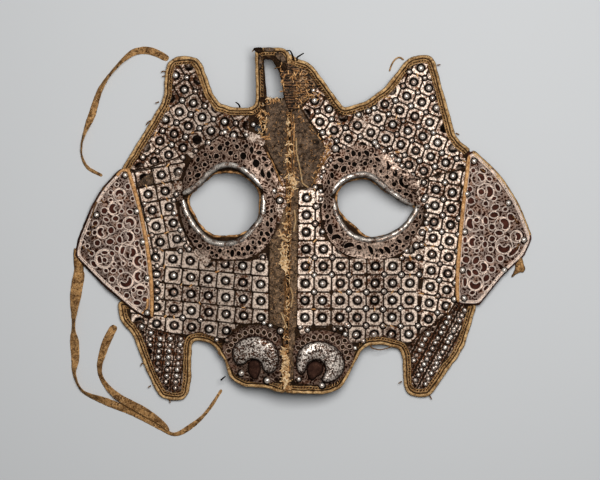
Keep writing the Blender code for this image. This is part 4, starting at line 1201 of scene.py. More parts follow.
# Pierced guards round the eyes, their linings and the rolled rims
eyes = {
    "left": {
        "paler": [(-58, 108, 26, 0.65), (-105, -18, 55, 0.70), (-135, 125, 40, -0.7)],
        "outer": [
            (-186, 66), (-184, 82), (-179, 100), (-171, 117), (-160, 131), (-147, 142), (-132, 150),
            (-118, 154), (-104, 152), (-92, 149), (-78, 147), (-66, 141), (-57, 131), (-49, 118), (-43, 104),
            (-40, 90), (-42, 78), (-45, 64), (-43, 50), (-42, 34), (-44, 18), (-50, 2), (-59, -11),
            (-71, -21), (-86, -27.5), (-104, -29), (-122, -29), (-140, -27), (-155, -20), (-166, -9),
            (-175, 6), (-182, 22), (-187, 40), (-188, 54),
        ],
        "brow": [
            (-183, 69.5), (-172, 74), (-163, 80.5), (-154, 88.5), (-147, 97), (-138, 104.5), (-129, 110),
            (-119, 112.5), (-109, 112.5), (-100, 110), (-91, 105), (-83, 99), (-75, 92), (-68, 84.5),
            (-62, 77),
        ],
        "lid": [
            (-61.5, 67), (-61.5, 52), (-62.5, 38), (-65, 31), (-69.5, 25), (-76, 18), (-82, 10), (-89, 3.5),
            (-97, -1), (-106, -4.5), (-117, -6.5), (-130, -5.5), (-141, -2.5), (-150, 3.5), (-158, 11.5),
            (-165, 20), (-171, 28.5), (-176, 37.5), (-180, 47.5), (-183, 61),
        ],
        "holes": [
            ("star", -116, 144, 7.5, 5, 0), ("leaf", -127, 137.5, 9, 4.4, 85),
            ("star", -139.5, 137, 7, 4, 20), ("leaf", -101.5, 139, 8, 3.4, -60), ("leaf", -88, 140, 8, 3, 20),
            ("leaf", -79.5, 134, 12, 3.2, 95), ("star", -111, 129.5, 10.5, 3, 30),
            ("leaf", -92, 125, 12, 5.2, 100), ("star", -132, 125, 11, 3, 0), ("star", -149, 127.5, 8, 3, 50),
            ("star", -149.5, 112.5, 9, 3, 90), ("leaf", -160, 120, 8, 3, 60),
            ("leaf", -163.5, 108, 6.5, 2.8, 5), ("leaf", -160, 96.5, 11, 3.8, 25),
            ("leaf", -172.5, 99.5, 6, 2.6, 20), ("leaf", -171.5, 90.5, 6, 2.6, 25),
            ("leaf", -73, 114, 13, 5.6, 95), ("leaf", -68.5, 130, 9, 3.4, 10), ("leaf", -61, 121, 9, 3, -50),
            ("leaf", -63, 99, 15, 3.2, 102, 1.2), ("leaf", -54, 97, 12, 3.6, 95),
            ("leaf", -106, 148, 5, 2.2, 10), ("leaf", -57, 111, 6, 2.6, -20), ("leaf", -49, 104, 8, 2.4, 100),
            ("leaf", -142, 124, 6, 2.2, 100), ("leaf", -120, 135, 5, 2, 60), ("leaf", -103, 125, 5, 2.2, 80),
            ("leaf", -140, 116, 5, 2, 30), ("leaf", -156, 105, 5, 2, 70), ("leaf", -163, -2, 9, 2.6, 0),
            ("leaf", -157, -9, 8, 3.4, 20), ("leaf", -144.5, -12, 7, 3, 45), ("star", -139, -19, 6.5, 4, 20),
            ("leaf", -132, -23, 6, 2.6, -60), ("leaf", -127, -16, 7, 3, 45),
            ("leaf", -108.5, -20, 12, 3.4, 85), ("leaf", -115, -17, 5, 2.2, 90),
            ("leaf", -99, -20, 8, 3.6, 85), ("leaf", -93.5, -13, 7, 2.6, 85), ("leaf", -90.5, -21, 6, 3, 60),
            ("leaf", -85, -12, 10, 4, 88), ("leaf", -77.5, -3.5, 6, 2.4, 90), ("star", -74.5, -11.5, 6, 5, 0),
            ("leaf", -68, -4, 8, 2.8, -60), ("leaf", -61, 0.5, 8, 4, -20), ("leaf", -65, 9.5, 8, 3, 85),
            ("leaf", -56, 9, 9, 3.4, -40), ("leaf", -50.5, 15, 9, 2.8, 85), ("leaf", -56, 24, 9, 3, 100),
            ("leaf", -50, 30, 8, 2.8, 90), ("leaf", -50, 43, 7, 2.4, 90), ("leaf", -80, -19, 6, 2.6, 30),
        ],
    },
    "right": {
        "paler": [(128, 100, 45, 0.8), (105, -16, 62, 0.85), (60, 120, 40, 0.1)],
        "outer": [
            (30, 62), (27, 78), (25, 95), (31, 112), (38, 124), (49, 133), (62, 138.5), (76, 141), (90, 141),
            (102, 138.5), (114, 134), (125, 127), (133, 118), (140, 109), (150, 103.5), (160, 99.5),
            (166.5, 92), (167.5, 80), (166.5, 68), (170, 58), (177, 50), (178, 38), (174, 24), (168, 12),
            (160, 2), (156, -8), (148, -16), (138, -22.5), (124, -27), (108, -28), (92, -28), (76, -26),
            (62, -22), (50, -15), (41, -6), (34, 5), (29, 18), (25, 34), (24, 50),
        ],
        "brow": [
            (35, 65.5), (42, 74), (48, 82), (56, 89), (66, 94.5), (77, 97.5), (88, 98.5), (98, 96),
            (107, 90.5), (114, 84), (121, 78), (130, 71), (140, 64), (149, 58.5), (157, 55), (163, 54),
        ],
        "lid": [
            (170, 53), (166, 43), (161, 34.5), (155, 26), (148, 18.5), (138, 11.5), (127, 5.5), (116, 1.5),
            (104, -0.5), (92, -0.5), (82, 1.5), (73, 5), (64, 11), (57, 19), (51, 28), (47, 36.5), (44.5, 45),
            (43, 53), (42, 62),
        ],
        "holes": [
            ("star", 46, 109, 8.5, 5, 0), ("leaf", 53, 118.5, 11, 3.8, -25, 1.0),
            ("star", 62.5, 122.5, 10, 3, 20), ("leaf", 72, 129, 10, 3.8, -80, 0.8),
            ("leaf", 81, 128, 8, 3, 85), ("leaf", 92, 129.5, 11, 3.6, -50, 1.2),
            ("star", 73.5, 112.5, 8.5, 4, 20), ("leaf", 57.5, 105.5, 12, 4.4, 60),
            ("leaf", 40, 96, 10, 3, 100), ("leaf", 89.5, 114, 7, 3.8, 0), ("leaf", 104, 110, 7, 2.4, 0),
            ("leaf", 108.5, 120, 10, 2.8, -35), ("leaf", 113, 102.5, 5, 3, 0),
            ("crescent", 119, 111, 6.5, 3.2, -70, 70), ("star", 122.5, 94, 6.5, 5, 0),
            ("leaf", 134.5, 100, 10, 3.8, 70), ("star", 133, 83, 7, 5, 0),
            ("crescent", 152, 88.5, 9, 3.0, 120, 260), ("leaf", 141, 73.5, 7, 3, 5),
            ("leaf", 151, 68.5, 9, 2.8, 5), ("leaf", 64, 132.5, 6, 2.2, 10), ("leaf", 66, 114, 6, 2.4, 100),
            ("leaf", 35, 86, 8, 2.4, 100), ("leaf", 98, 117, 6, 2.4, 60), ("leaf", 105, 127, 6, 2, -20),
            ("leaf", 37.5, 16, 17, 4.6, 100, 1.4), ("leaf", 33, 35, 8, 3.4, 85),
            ("leaf", 29.5, 50, 8, 2.4, 90), ("crescent", 47, -1, 6.5, 3.6, 20, 175),
            ("crescent", 67, -16, 9, 4.0, 45, 160), ("leaf", 80.5, -11, 10, 3.8, -35),
            ("leaf", 98, -15, 16, 3.2, -65, 1.4), ("leaf", 114, -16.5, 11, 3.0, -58, 1.0),
            ("leaf", 123, -15, 15, 3.6, -48, 1.4), ("leaf", 130.5, -8.5, 5, 2.4, 0),
            ("leaf", 137, -11.5, 8, 3.0, 85), ("leaf", 141, -2, 9, 3.0, -30),
            ("leaf", 152.5, 3.5, 9, 3.4, 35), ("leaf", 161.5, 11.5, 7, 2.6, 10),
            ("leaf", 107, -23.5, 4, 2.6, 0), ("leaf", 147, -9, 6, 2.6, 20), ("leaf", 172, 35, 8, 2.4, 75),
            ("leaf", 167, 22, 6, 2.4, 60),
        ],
    },
}
guardWork = {
    **piercing, "thick": 1.3, "cell": 5, "ridge": 0.65, "ridgeGap": 0.9, "ridgeTone": 1.0, "dent": 0.25,
    "widen": 1.8, "lift": 0.5, "shade": -0.2, "ground": faceGround, "least": 5.5,
}
liningShape = {"inset": 2.5, "hem": 0.5, "thick": 0.6, "cell": 7, "drop": 1.7}
rimShape = {"radius": 4.9, "sag": 4.5, "flankShadeFrom": 0.42, "flankShadeRange": 0.45}


def rolledRim(name, node, points):
    tree = depthOf(node)
    line = softened(resampled(points, 2.2), 4)
    row = []
    for k, p in enumerate(line):
        taper = 0.45 + 0.55 * min(1, math.sin(math.pi * (k + 0.7) / (len(line) + 0.4)) * 4.5)
        place = (p.x, p.y, softTop(tree, p.x, p.y, 1.0) - rimShape["sag"])
        row.append((place, taper * (1 + 0.1 * ruffle(p, 12, 3))))

    # painted shade on the flanks of the rim away from its crest, leaving a narrow bright crest, with blotches
    # of dirt
    def dirtAndShadeAt(vert):
        out = distanceTo(line, vert.co.xy) / rimShape["radius"]
        blotch = 0.6 * easeStep(2.2 * ruffle(vert.co, 5, 9) - 0.4)
        return max(blotch, 0.95 * easeStep((out - rimShape["flankShadeFrom"]) / rimShape["flankShadeRange"]))

    bm = curveMesh([row], radius=rimShape["radius"], steps=2)
    roughened(bm, 0.6, 8, 3)
    mark(bm, "tone", lambda v: 0.5 + 0.6 * ruffle(v.co, 10, 6))
    mark(bm, "dirtAndShade", dirtAndShadeAt)
    finished(name, bm, rimIron, [node], "bright_iron", 80)


def guardLining(side, eye):
    # dark leather seen through the piercing, near black as painted shade in the holes
    tree = depthOf(f"eye_guard_{side}")
    outer = toTheRight(smoothLoop(eye["outer"]), liningShape["inset"], True)
    inner = toTheRight(smoothLoop(eye["brow"] + eye["lid"]), -liningShape["hem"], True)
    bm = curveMesh([even(outer), even(inner)], flat=liningShape["thick"])
    cutFine(bm, liningShape["cell"])
    for vert in bm.verts:
        x, y = vert.co.xy
        vert.co.z += max(softTop(tree, x, y), faceGround(x, y) + guardWork["least"]) - liningShape["drop"]
    finished(f"guard_lining_{side}", bm, blackLeatherAndShade, [], "dark_leather")


for side, eye in eyes.items():
    work = {**guardWork, "outer": eye["outer"], "inner": [eye["brow"] + eye["lid"]], "paler": eye["paler"]}
    piercedPlate(f"guard_{side}", f"eye_guard_{side}", eye["holes"], guardIron, work)
    guardLining(side, eye)
    for part in ("brow", "lid"):
        rolledRim(f"rim_{part}_{side}", f"eye_rim_{part}_{side}", eye[part])
print("eye guards pierced and rims rolled")

# Plain patches of iron that fill the bare leather round the guards
patches = {"out": 6.5, "rowGap": 11, "spacing": 14, "low": 2.8, "thick": 0.85}


def treeOf(*starts):
    return depthOf(*[node for node in cad if node.startswith(starts)])


ironOver = ("plates_", "studs_", "nostril_plate", "centre_band", "forehead")
taken = treeOf(*ironOver, "poll_pad")
leatherTree = depthOf("backing_left", "backing_right")
guardLines = [smoothLoop(eye["outer"]) for eye in eyes.values()]


def underGuard(spot):
    return any(within(line, spot) for line in guardLines)


def patchesRound(name, lines, rows, lowest=-500):
    spots = []
    outs = [patches["out"] + patches["rowGap"] * row for row in range(rows)]
    for ring in (toTheRight(line, -out, True) for line in lines for out in outs):
        run = resampled(ring, patches["spacing"], True)
        for k, spot in enumerate(run):
            way = run[(k + 1) % len(run)] - run[k - 1]
            bare = topOf(taken, *spot) is None and topOf(leatherTree, *spot) is not None and spot.y > lowest
            if bare and covered(leatherTree, *spot, 7) == 1 and not underGuard(spot):
                spots.append(at(
                    spot, patches["low"] + dice.uniform(-0.2, 0.2), tone=dice.random(),
                    turn=math.atan2(way.y, way.x) + dice.uniform(-0.1, 0.1),
                    size=(1, dice.uniform(0.85, 1.05), patches["thick"]),
                ))
    finished(name, strewn(blankPlate, spots), plateIron, [], "paving_iron", 35, faceGround)


patchesRound("patches_round_guards", guardLines, 2)
print("patches laid")

# Crescent bosses over the nostrils, the leather pads in their notches, and the pierced plates under them
nostrils = {
    "left": {
        "boss": [
            (-109.5, -166), (-106, -157), (-100, -151), (-91, -146), (-80, -143), (-68, -143), (-57, -146),
            (-48, -152), (-41.5, -160), (-38.5, -170), (-38.5, -182), (-42, -191), (-47, -197.5),
            (-54, -199.5), (-60.5, -197), (-64, -191), (-65.5, -184), (-70, -179.5), (-77, -178), (-84, -180),
            (-89, -185), (-96, -187.5), (-103, -186), (-108, -178),
        ],
        "pad": [
            (-86, -187), (-83, -180.5), (-76, -178), (-69, -180), (-66, -187), (-66, -195), (-69, -203),
            (-73, -209), (-79, -206), (-85, -199),
        ],
        "plate": [
            (-126, -163), (-118, -151), (-110, -141), (-98, -132), (-85, -127.5), (-70, -126.5),
            (-56, -127.5), (-45, -132), (-37, -140), (-35, -155), (-35, -185), (-36, -206), (-46, -213),
            (-62, -214), (-80, -211.5), (-97, -207), (-107, -198), (-114, -185), (-119, -173),
        ],
        "centre": (-74, -178), "rays": (20, 195),
    },
    "right": {
        "boss": [
            (-13, -177), (-11.5, -168), (-6, -160), (2, -154), (12, -150.5), (24, -150), (36, -153),
            (46, -159), (54, -168), (59, -178), (60, -188), (57, -198), (50, -206.5), (42, -211.5),
            (33, -213.5), (25.5, -211.5), (23, -206.5), (28, -201), (30.5, -193), (28.5, -185), (22, -180),
            (14, -179), (7, -182), (3, -187.5), (1, -195), (-2, -201), (-6.5, -202), (-11, -197),
            (-13.5, -188),
        ],
        "pad": [
            (2.5, -197), (3, -188), (8, -181.5), (15, -179.5), (22, -181), (27.5, -187), (28, -194),
            (24, -201), (17, -204), (14, -209), (7, -209), (4, -203),
        ],
        "plate": [
            (-16, -152), (-9, -143), (2, -137), (16, -134.5), (32, -135), (48, -138.5), (61, -144.5),
            (71, -154), (74.5, -166), (72, -180), (66, -193), (58, -204), (46, -213), (30, -217.5),
            (10, -215.5), (-16, -213), (-18, -190), (-18, -168),
        ],
        "centre": (23.5, -186), "rays": (0, 160),
    },
}
bossShape = {"height": 9.0, "reach": 13.5, "low": 5.3, "padHeight": 5.0, "padReach": 7.5, "padLow": 5.2}
fanShape = {"rayStep": 13, "bend": 0.8}
fanRings = (  # turn from the ray, distance out, length, width, swing
    (0, 42.0, 7.5, 3.6, 22), (6, 50.5, 7.0, 3.4, -28), (2, 58.5, 6.0, 3.0, 40),
)
fanWork = {
    **piercing, "thick": 1.5, "cell": 5, "ridge": 0.6, "ridgeGap": 0.85, "ridgeTone": 1.4, "dent": 0.3,
    "widen": 1.7, "shade": -0.25, "ground": faceGround, "least": 5.0,
}


def pillow(outline, height, reach, low, cell=2.2, ground=faceGround):
    # a plump piece inside an outline, rising away from the edge
    line = smoothLoop(outline, 2, 2.2)
    bm = curveMesh([even(line)], flat=1.0)
    cutFine(bm, cell)
    for vert in bm.verts:
        x, y = vert.co.xy
        rise = 0
        if vert.co.z > 0:
            share = 1 - min(1, distanceTo(line, vert.co.xy) / reach)
            rise = height * math.sqrt(max(0, 1 - share * share))
        vert.co.z += rise + low + 0.5 + ground(x, y)  # the flat sheet reaches 0.5 down from its middle
    bmesh.ops.recalc_face_normals(bm, faces=bm.faces)
    mark(bm, "tone", 0.5)
    # painted shade: darker towards the edge, where the piece slopes down to what it lies on
    mark(bm, "dirtAndShade", lambda v: 1 - easeStep((distanceTo(line, v.co.xy) / reach - 0.07) / 0.28))
    roughened(bm, 0.35, 5, 4)
    return bm


for side, nostril in nostrils.items():
    bm = pillow(nostril["boss"], bossShape["height"], bossShape["reach"], bossShape["low"])
    finished(f"boss_{side}", bm, bossIron, [f"nostril_boss_{side}"], "bright_iron", 70)
    bm = pillow(nostril["pad"], bossShape["padHeight"], bossShape["padReach"], bossShape["padLow"])
    finished(f"boss_pad_{side}", bm, padLeather, [f"nostril_pad_{side}"], "dark_leather", 70)
    slots = []
    for turn in range(*nostril["rays"], fanShape["rayStep"]):
        for shift, out, length, width, swing in fanRings:
            x, y = outFrom(*nostril["centre"], out, math.radians(turn + shift))
            slots.append(("leaf", x, y, length, width, turn + swing, fanShape["bend"]))
    work = {**fanWork, "outer": nostril["plate"]}
    piercedPlate(f"fan_{side}", f"nostril_plate_{side}", slots, fanIron, work)
fanLines = [smoothLoop(nostril["plate"]) for nostril in nostrils.values()]
patchesRound("patches_round_nostrils", fanLines, 1, -150)
seamPlate = at((-38, 59), 4.7, turn=0.1, size=(1.3, 1.7, 0.7), tone=0.1)
finished("plate_by_seam", strewn(blankPlate, [seamPlate]), plateIron, [], "paving_iron", 35, faceGround)
print("bosses and nostril plates made")

# Rivets that stand outside the plate grids, as (x, y, size), each in a dark ring of painted shadow
looseRivets = {
    "big": [
        (-37.5, 59, 1.0), (45, 136, 1.15), (154, 88.5, 0.8), (166.5, -8.5, 1.0), (-36.5, -135.5, 1.0),
        (62, -126, 0.95), (75.5, -142, 1.0), (-95, -199, 1.0), (-56.5, -209.5, 1.05), (-9.5, -207.5, 0.8),
        (25, -217, 0.95),
    ],
    "small": [
        (-46, 73, 1), (15, 78.5, 1), (23, 73, 0.85), (23, 61, 0.9), (18, 50.5, 1), (26, 12.5, 0.9),
        (27.5, 102, 0.8), (24.5, 94, 0.75), (33, 111, 0.8), (38, 119, 0.8), (58.5, 138, 1), (145, 111, 1.05),
        (140, 119.5, 1), (130, 126, 1), (117.5, 132.5, 1), (108, 140, 1.05), (178, 60.5, 1), (183, 50.5, 1),
        (181.5, 37.5, 1), (181.5, 25.5, 0.95), (175.5, 11, 1.2), (187, 15.5, 1), (152, -16.5, 1),
        (-192.5, 68.5, 0.95), (-196.5, 60, 0.95), (-196, 40, 1), (-186.5, 15, 1), (-180.5, 1, 0.9),
        (-177.5, -9, 1), (-186.5, -16.5, 0.95), (-183, 123.5, 1.05), (-163.5, 133, 1), (-119.5, 161, 1),
        (-87.5, 157, 0.9), (-7.5, -129.5, 0.9), (3.5, -134, 0.95), (43.5, -133, 0.85), (53.5, -132, 0.85),
        (60, -140.5, 0.95), (87, -151, 0.95), (74.5, -161.5, 0.9), (-61, -123.5, 0.85), (-51.5, -127.5, 0.85),
        (-117, -149.5, 0.85), (-132, -149, 0.9), (12.5, 223, 0.9), (-77, 172, 0.9),
    ],
}
# small studs down the left hinge, and a line round the right jaw
for x, y in (
    (-240.5, 54), (-235.5, 30.5), (-229.5, 7), (-224, -16), (-222.5, -28), (-221.5, -39), (-221, -51.5),
    (-221.5, -64.5), (-221, -76), (-221.5, -87.5),
):
    looseRivets["small"].append((x, y, 1.0))
for k in range(6):
    looseRivets["small"].append((230 - 6.8 * k, -119 - 14.3 * k, 0.9))
rivetShape = {
    "bigRing": 6.6, "bigSink": 0.9, "smallRing": 4.9, "smallSink": 0.7, "ringOver": 0.15, "onLeather": 5.0,
    "onGuard": 6.2, "flapRing": 6.0, "flapSize": 0.9, "flapLow": 0.9, "flapRingLow": 1.5,
}
ringed = treeOf(*ironOver, "eye_guard")


def looseHeads(spots, mould, ring, sink):
    heads, rings = [], []
    for x, y, size in spots:
        top = softTop(ringed, x, y, 3)
        if topOf(ringed, x, y) is None:
            top = faceGround(x, y) + rivetShape["onLeather"]
        if underGuard(Vector((x, y))):
            top = max(top, faceGround(x, y) + rivetShape["onGuard"])
        heads.append(at((x, y), top - sink, size=size, tone=dice.random(), turn=dice.uniform(0, 3)))
        rings.append(at((x, y), top + rivetShape["ringOver"], size=size, tone=0.5))
    return strewn(mould, heads), strewn(ring, rings)


bigRing, smallRing = ringMould(rivetShape["bigRing"]), ringMould(rivetShape["smallRing"])
bigHeads, bigRings = looseHeads(looseRivets["big"], dome, bigRing, rivetShape["bigSink"])
smallHeads, smallRings = looseHeads(looseRivets["small"], stud, smallRing, rivetShape["smallSink"])
finished("rivets_face", joined(bigHeads, smallHeads), domeIron, [], "bright_iron", 60)
finished("rivet_rings_face", joined(bigRings, smallRings), plateIron, [], "paving_iron", 40)

for side, count in (("left", 6), ("right", 8)):
    nodes = [f"flap_rivet_{side}_{number}" for number in range(1, count + 1)]
    heads, rings = [], []
    for node in nodes:
        low, high = (Vector(corner) * 1000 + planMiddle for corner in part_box(node))
        spot, size = ((low.x + high.x) / 2, (low.y + high.y) / 2), rivetShape["flapSize"]
        heads.append(at(spot, low.z + rivetShape["flapLow"], size=size, tone=0.9))
        rings.append(at(spot, low.z + rivetShape["flapRingLow"], size=size, tone=0.5))
    finished(f"rivets_flap_{side}", strewn(dome, heads), domeIron, nodes, "bright_iron", 60)
    # painted shadow: a dark disc round each flap rivet
    rings = strewn(ringMould(rivetShape["flapRing"]), rings)
    finished(f"rivet_rings_flap_{side}", rings, plateIron, [], "guard_iron", 40)
    piping = softCopy(f"flap_piping_{side}", 1, 0.75, 0.5, 4, 8)
    finished(f"piping_{side}", piping, pipingTan, [f"flap_piping_{side}"], "binding_leather", 80)
print("rivets set")


# Bindings: folded leather round the edge, with two thin cords laid inside it and stitched down
binding = {
    "profile": [
        (9.6, -1.5), (4.0, -1.7), (0.0, -1.6), (-1.3, -0.6), (-1.7, 1.2), (-1.4, 3.2), (-0.5, 4.6),
        (0.9, 5.2), (2.1, 4.9), (2.9, 4.0), (3.3, 1.9), (4.3, 1.9), (4.7, 4.2), (5.7, 5.2), (6.6, 4.3),
        (7.0, 1.9), (8.1, 1.9), (8.5, 4.2), (9.4, 5.0), (10.2, 4.2), (10.5, 3.0), (10.3, 1.8),
    ],
    "spacing": 3.0, "stitch": 4.4, "stitchAt": 7.5, "stitchLow": 4.6, "stitchTurn": 58, "sway": 0.9,
    "lift": 0.45, "hidden": 2.2, "open": 1.9,
}


def boundRun(half, node):
    # the part of the shell's edge that this binding covers
    shell = resampled(clockwise(edgeLines(topFaces(half))[0]), binding["spacing"], True)
    tree = depthOf(node)

    def underBinding(spot):
        beside = tree.find_nearest(Vector((*spot, faceGround(*spot) + 2)))[3]
        return topOf(tree, *spot) is not None or beside < 3.5

    inside = [underBinding(spot) for spot in shell]
    runs = []
    for start in (k for k in range(len(shell)) if inside[k] and not inside[k - 1]):
        run, k = [], start
        while inside[k % len(shell)] and len(run) < len(shell):
            run.append(shell[k % len(shell)])
            k += 1
        runs.append(run)
    return max(runs, key=len)


def stitchMould():
    row = [((-2.2, 0, 0), 0.5), ((-1.0, 0, 0.55), 1), ((1.0, 0, 0.55), 1), ((2.2, 0, 0), 0.5)]
    return mouldOf(curveMesh([row], radius=0.5, steps=0))


def shadeLow(bm, ground, low, reach, share=1.0):
    # painted shade: darker towards the surface, in the grooves and at the foot of a fold
    mark(bm, "dirtAndShade", lambda v: share * (1 - easeStep((v.co.z - ground(v.co.x, v.co.y) - low) / reach)))
    mark(bm, "tone", 0.5)


stitch = stitchMould()
for place in ("ear_left", "ear_right", "jaw_left", "jaw_right"):
    node, half = f"binding_{place}", "backing_" + place.split("_")[1]
    run = softened(boundRun(half, node), 2)
    row = []
    for spot in run:
        swell = 1 + 0.10 * ruffle(spot, 9, 3) + 0.05 * ruffle(spot, 3.5, 4)
        row.append(((spot.x, spot.y, faceGround(*spot)), swell))
    bm = curveMesh([row], profile=binding["profile"])
    shadeLow(bm, faceGround, binding["hidden"], binding["open"])
    for vert in bm.verts:
        sway = [binding["sway"] * ruffle(vert.co, 9, seed) for seed in (1, 2)]
        vert.co += Vector((*sway, binding["lift"] * ruffle(vert.co, 6, 5)))
    roughened(bm, 0.35, 2.2, 4)
    stitches = []
    line = resampled(toTheRight(run, binding["stitchAt"]), binding["stitch"])
    for spot, ahead in zip(line[1:], line[2:]):
        way = ahead - spot
        x, y = spot.x + dice.uniform(-0.4, 0.4), spot.y + dice.uniform(-0.4, 0.4)
        stitches.append(at(
            (x, y), faceGround(*spot) + binding["stitchLow"],
            turn=math.atan2(way.y, way.x) + math.radians(binding["stitchTurn"] + dice.uniform(-14, 14)),
            size=(dice.uniform(0.9, 1.25), 1, 1), tone=dice.random(),
        ))
    finished(f"bound_{place}", bm, bindingLeather, [node], "binding_leather", 70)
    finished(f"stitches_{place}", strewn(stitch, stitches), threadTan, [], "binding_leather", 80)
print("edges bound")


# Rolled edges of the flaps and of the eye openings, and the ends of thongs that stick out
def rolledEdge(name, line, radius, height, coat, slot, ground, closed=True, wander=0.5, worn=0):
    line = softened(resampled(line, 2.6, closed), 2, closed)
    rows = []
    for p in line:
        x, y = p.x + wander * ruffle(p, 8, 1), p.y + wander * ruffle(p, 8, 2)
        rows.append(((x, y, ground(x, y) + height + 0.3 * ruffle(p, 6, 3)), 1 + 0.3 * ruffle(p, 5, 4)))
    bm = curveMesh([rows], radius=radius, steps=1, closed=closed)
    mark(bm, "dirtAndShade", lambda v: worn * easeStep(0.45 + 1.8 * ruffle(v.co, 6, 7)))
    roughened(bm, 0.25, 1.8, 2)
    return finished(name, bm, coat, [], slot, crease=80)


def flapLine(side):
    return smoothLoop(edgeLines(topFaces(f"flap_leather_{side}"))[0], 1)


rolledEdge("flap_edge_left", flapLine("left"), 1.1, 1.4, shellLeather, "binding_leather", flapGround)
# only the upper edge of the right flap keeps its binding
flapBinding = {
    "from": (251, 6),
    "profile": [(-0.3, 0.2), (-0.9, 1.6), (0.1, 4.4), (1.6, 5.3), (4.6, 5.2), (5.4, 4.2), (5.0, 0.4)],
}
line = flapLine("right")
start = max(range(len(line)), key=lambda k: line[k].y)
x, y = flapBinding["from"]
run = [p for p in line[start:] + line[:start] if p.x > x and p.y > y]
row = [((p.x, p.y, flapGround(*p)), 1 + 0.2 * ruffle(p, 9, 3)) for p in run]
bm = curveMesh([row], profile=flapBinding["profile"])
shadeLow(bm, flapGround, 2.2, 2.2, 0.75)
roughened(bm, 0.5, 3, 5)
finished("flap_edge_right", bm, bindingLeather, [], "binding_leather", 60)
for side in ("left", "right"):
    for line in edgeLines(topFaces(f"backing_{side}"))[1:]:
        if spread(line) > 120:  # the eye opening, and not a tear
            line = toTheRight(smoothLoop(line, 5), -0.6, True)
            name = f"eye_edge_{side}"
            rolledEdge(name, line, 1.9, 2.7, pipingTan, "shell_leather", faceGround, wander=1.2, worn=0.9)

# Ends of thongs, as points with their height over the face
thongEnds = {
    "dark": [
        [(-16.5, 268, 8.2), (-18.5, 275, 8.8), (-22, 282.5, 8.0), (-28, 282, 7.4)],
        [(-11.5, 267, 7), (-12.5, 272, 7.2), (-2, 278.5, 5)],
        [(-97, 198, 5), (-99, 203, 5), (-103.5, 205.5, 3.5)],
        [(-126, -210, 3), (-122, -206, 2.5), (-119, -204, 2)],
    ],
    "tan": [
        [(-209, 252, 4), (-213, 254, 4), (-215.5, 251, 3)], [(-209, 246, 4), (-214, 245, 3)],
        [(-219, 207, 4), (-224, 205, 3)], [(-231, 179, 4), (-236, 176, 3), (-238, 172, 2.5)],
        [(-240, -184, 3), (-245.5, -185, 2.5), (-246, -189, 2)], [(-231, -218, 3), (-235, -221, 2.5)],
        [(-203, -238, 3), (-202, -244, 2)], [(-130, -168, 3), (-127, -173, 2.5)],
        [(96, -155, 4), (100, -162, 3.5), (112, -164.5, 3), (124, -162, 3), (131, -158, 3.5)],
        [(145, -212, 4), (140, -215, 3)], [(187, -233, 3), (190, -239, 2)], [(198, 262, 4), (203, 263, 3)],
        [(-69, 287, 3), (-77, 284, 3), (-79, 281, 2.5)], [(-37, 257, 5), (-42, 257.5, 5), (-46, 255, 4)],
        [(226, 160, 4), (231, 158, 3)], [(-120, -178, 3), (-117, -183, 2.5)],
        [(218, -96, 7), (213, -108, 6), (216, -116, 5.5)],
    ],
}


def threads(name, rows, coat, radius, rough=0.3):
    bm = curveMesh(rows, radius=radius, steps=1)
    roughened(bm, rough, 1.5, 3)
    finished(name, bm, coat, [], "strap_leather", 80)


for tint, coat, radius in (("dark", blackLeatherAndShade, 1.3), ("tan", threadTan, 1.0)):
    rows = [threadRow(softened(resampled(points, 1.6), 2), 0, 1.0, 0.35) for points in thongEnds[tint]]
    threads(f"thong_ends_{tint}", rows, coat, radius, 0.25)

for name, radius, low, points in (
    (
        "piping_hook_left", 2.3, 5.6,
        [(-281, 96.5), (-278, 101), (-273.5, 104.5), (-268.5, 105.5), (-264, 102.5), (-261.5, 96)],
    ),
    ("piping_foot_left", 2.2, 4.0, [(-236, -88), (-235.5, -98), (-238.5, -106), (-244, -110)]),
):
    rolledEdge(name, points, radius, low, pipingTan, "binding_leather", flapGround, closed=False, wander=0.2)
for name, points, radius in (
    ("guard_thread_left", [(-57, 130), (-50, 118), (-43, 103), (-37, 89), (-32.5, 79)], 1.5),
    ("guard_thread_right", [(37, 128), (29, 118), (21, 105), (15, 92), (12, 84)], 1.2),
    ("seam_thread_right", [(-17, 188), (-16, 165), (-17.5, 142), (-16, 122), (-18, 104), (-16.5, 92)], 1.1),
):
    rolledEdge(
        name, points, radius, 6.4, pipingTan, "binding_leather", faceGround,
        closed=False, wander=0.9, worn=0.85,
    )
flapThreads = [
    [(-312, 57), (-316, 48), (-317.5, 39), (-321, 32)], [(-305, 60), (-300.5, 55.5)], [(-321, 13), (-323, 6)],
    [(-319, 19), (-312, 23)], [(-326, -14), (-320, -19)], [(-333, -9), (-330, -14)], [(-300, 79), (-303, 74)],
    [(269, 102), (262, 107)], [(311, 36), (318, 26)], [(321, -6), (316, -14)],
]
rows = [threadRow(softened(resampled(points, 2), 2), 6.6, 1.2, 0.5, flapGround) for points in flapThreads]
threads("flap_threads", rows, threadTan, 1.0)
bm = pillow(
    [(-227.5, 104), (-227, 83), (-240, 82), (-254, 80.5), (-253.5, 84.5), (-246, 91), (-236, 98.5)],
    0.7, 2, 4.6,
)
finished("patch_by_flap", bm, darkLeather, [], "dark_leather", 70)
bm = pillow(
    [(-79, 285.5), (-73, 287.5), (-64, 287.5), (-62, 283), (-66, 278), (-71, 279.5), (-75, 282)],
    2.6, 3, 4.6,
)
roughened(bm, 0.8, 4, 6)
finished("poll_knot", bm, shellLeather, [], "dark_leather", 70)
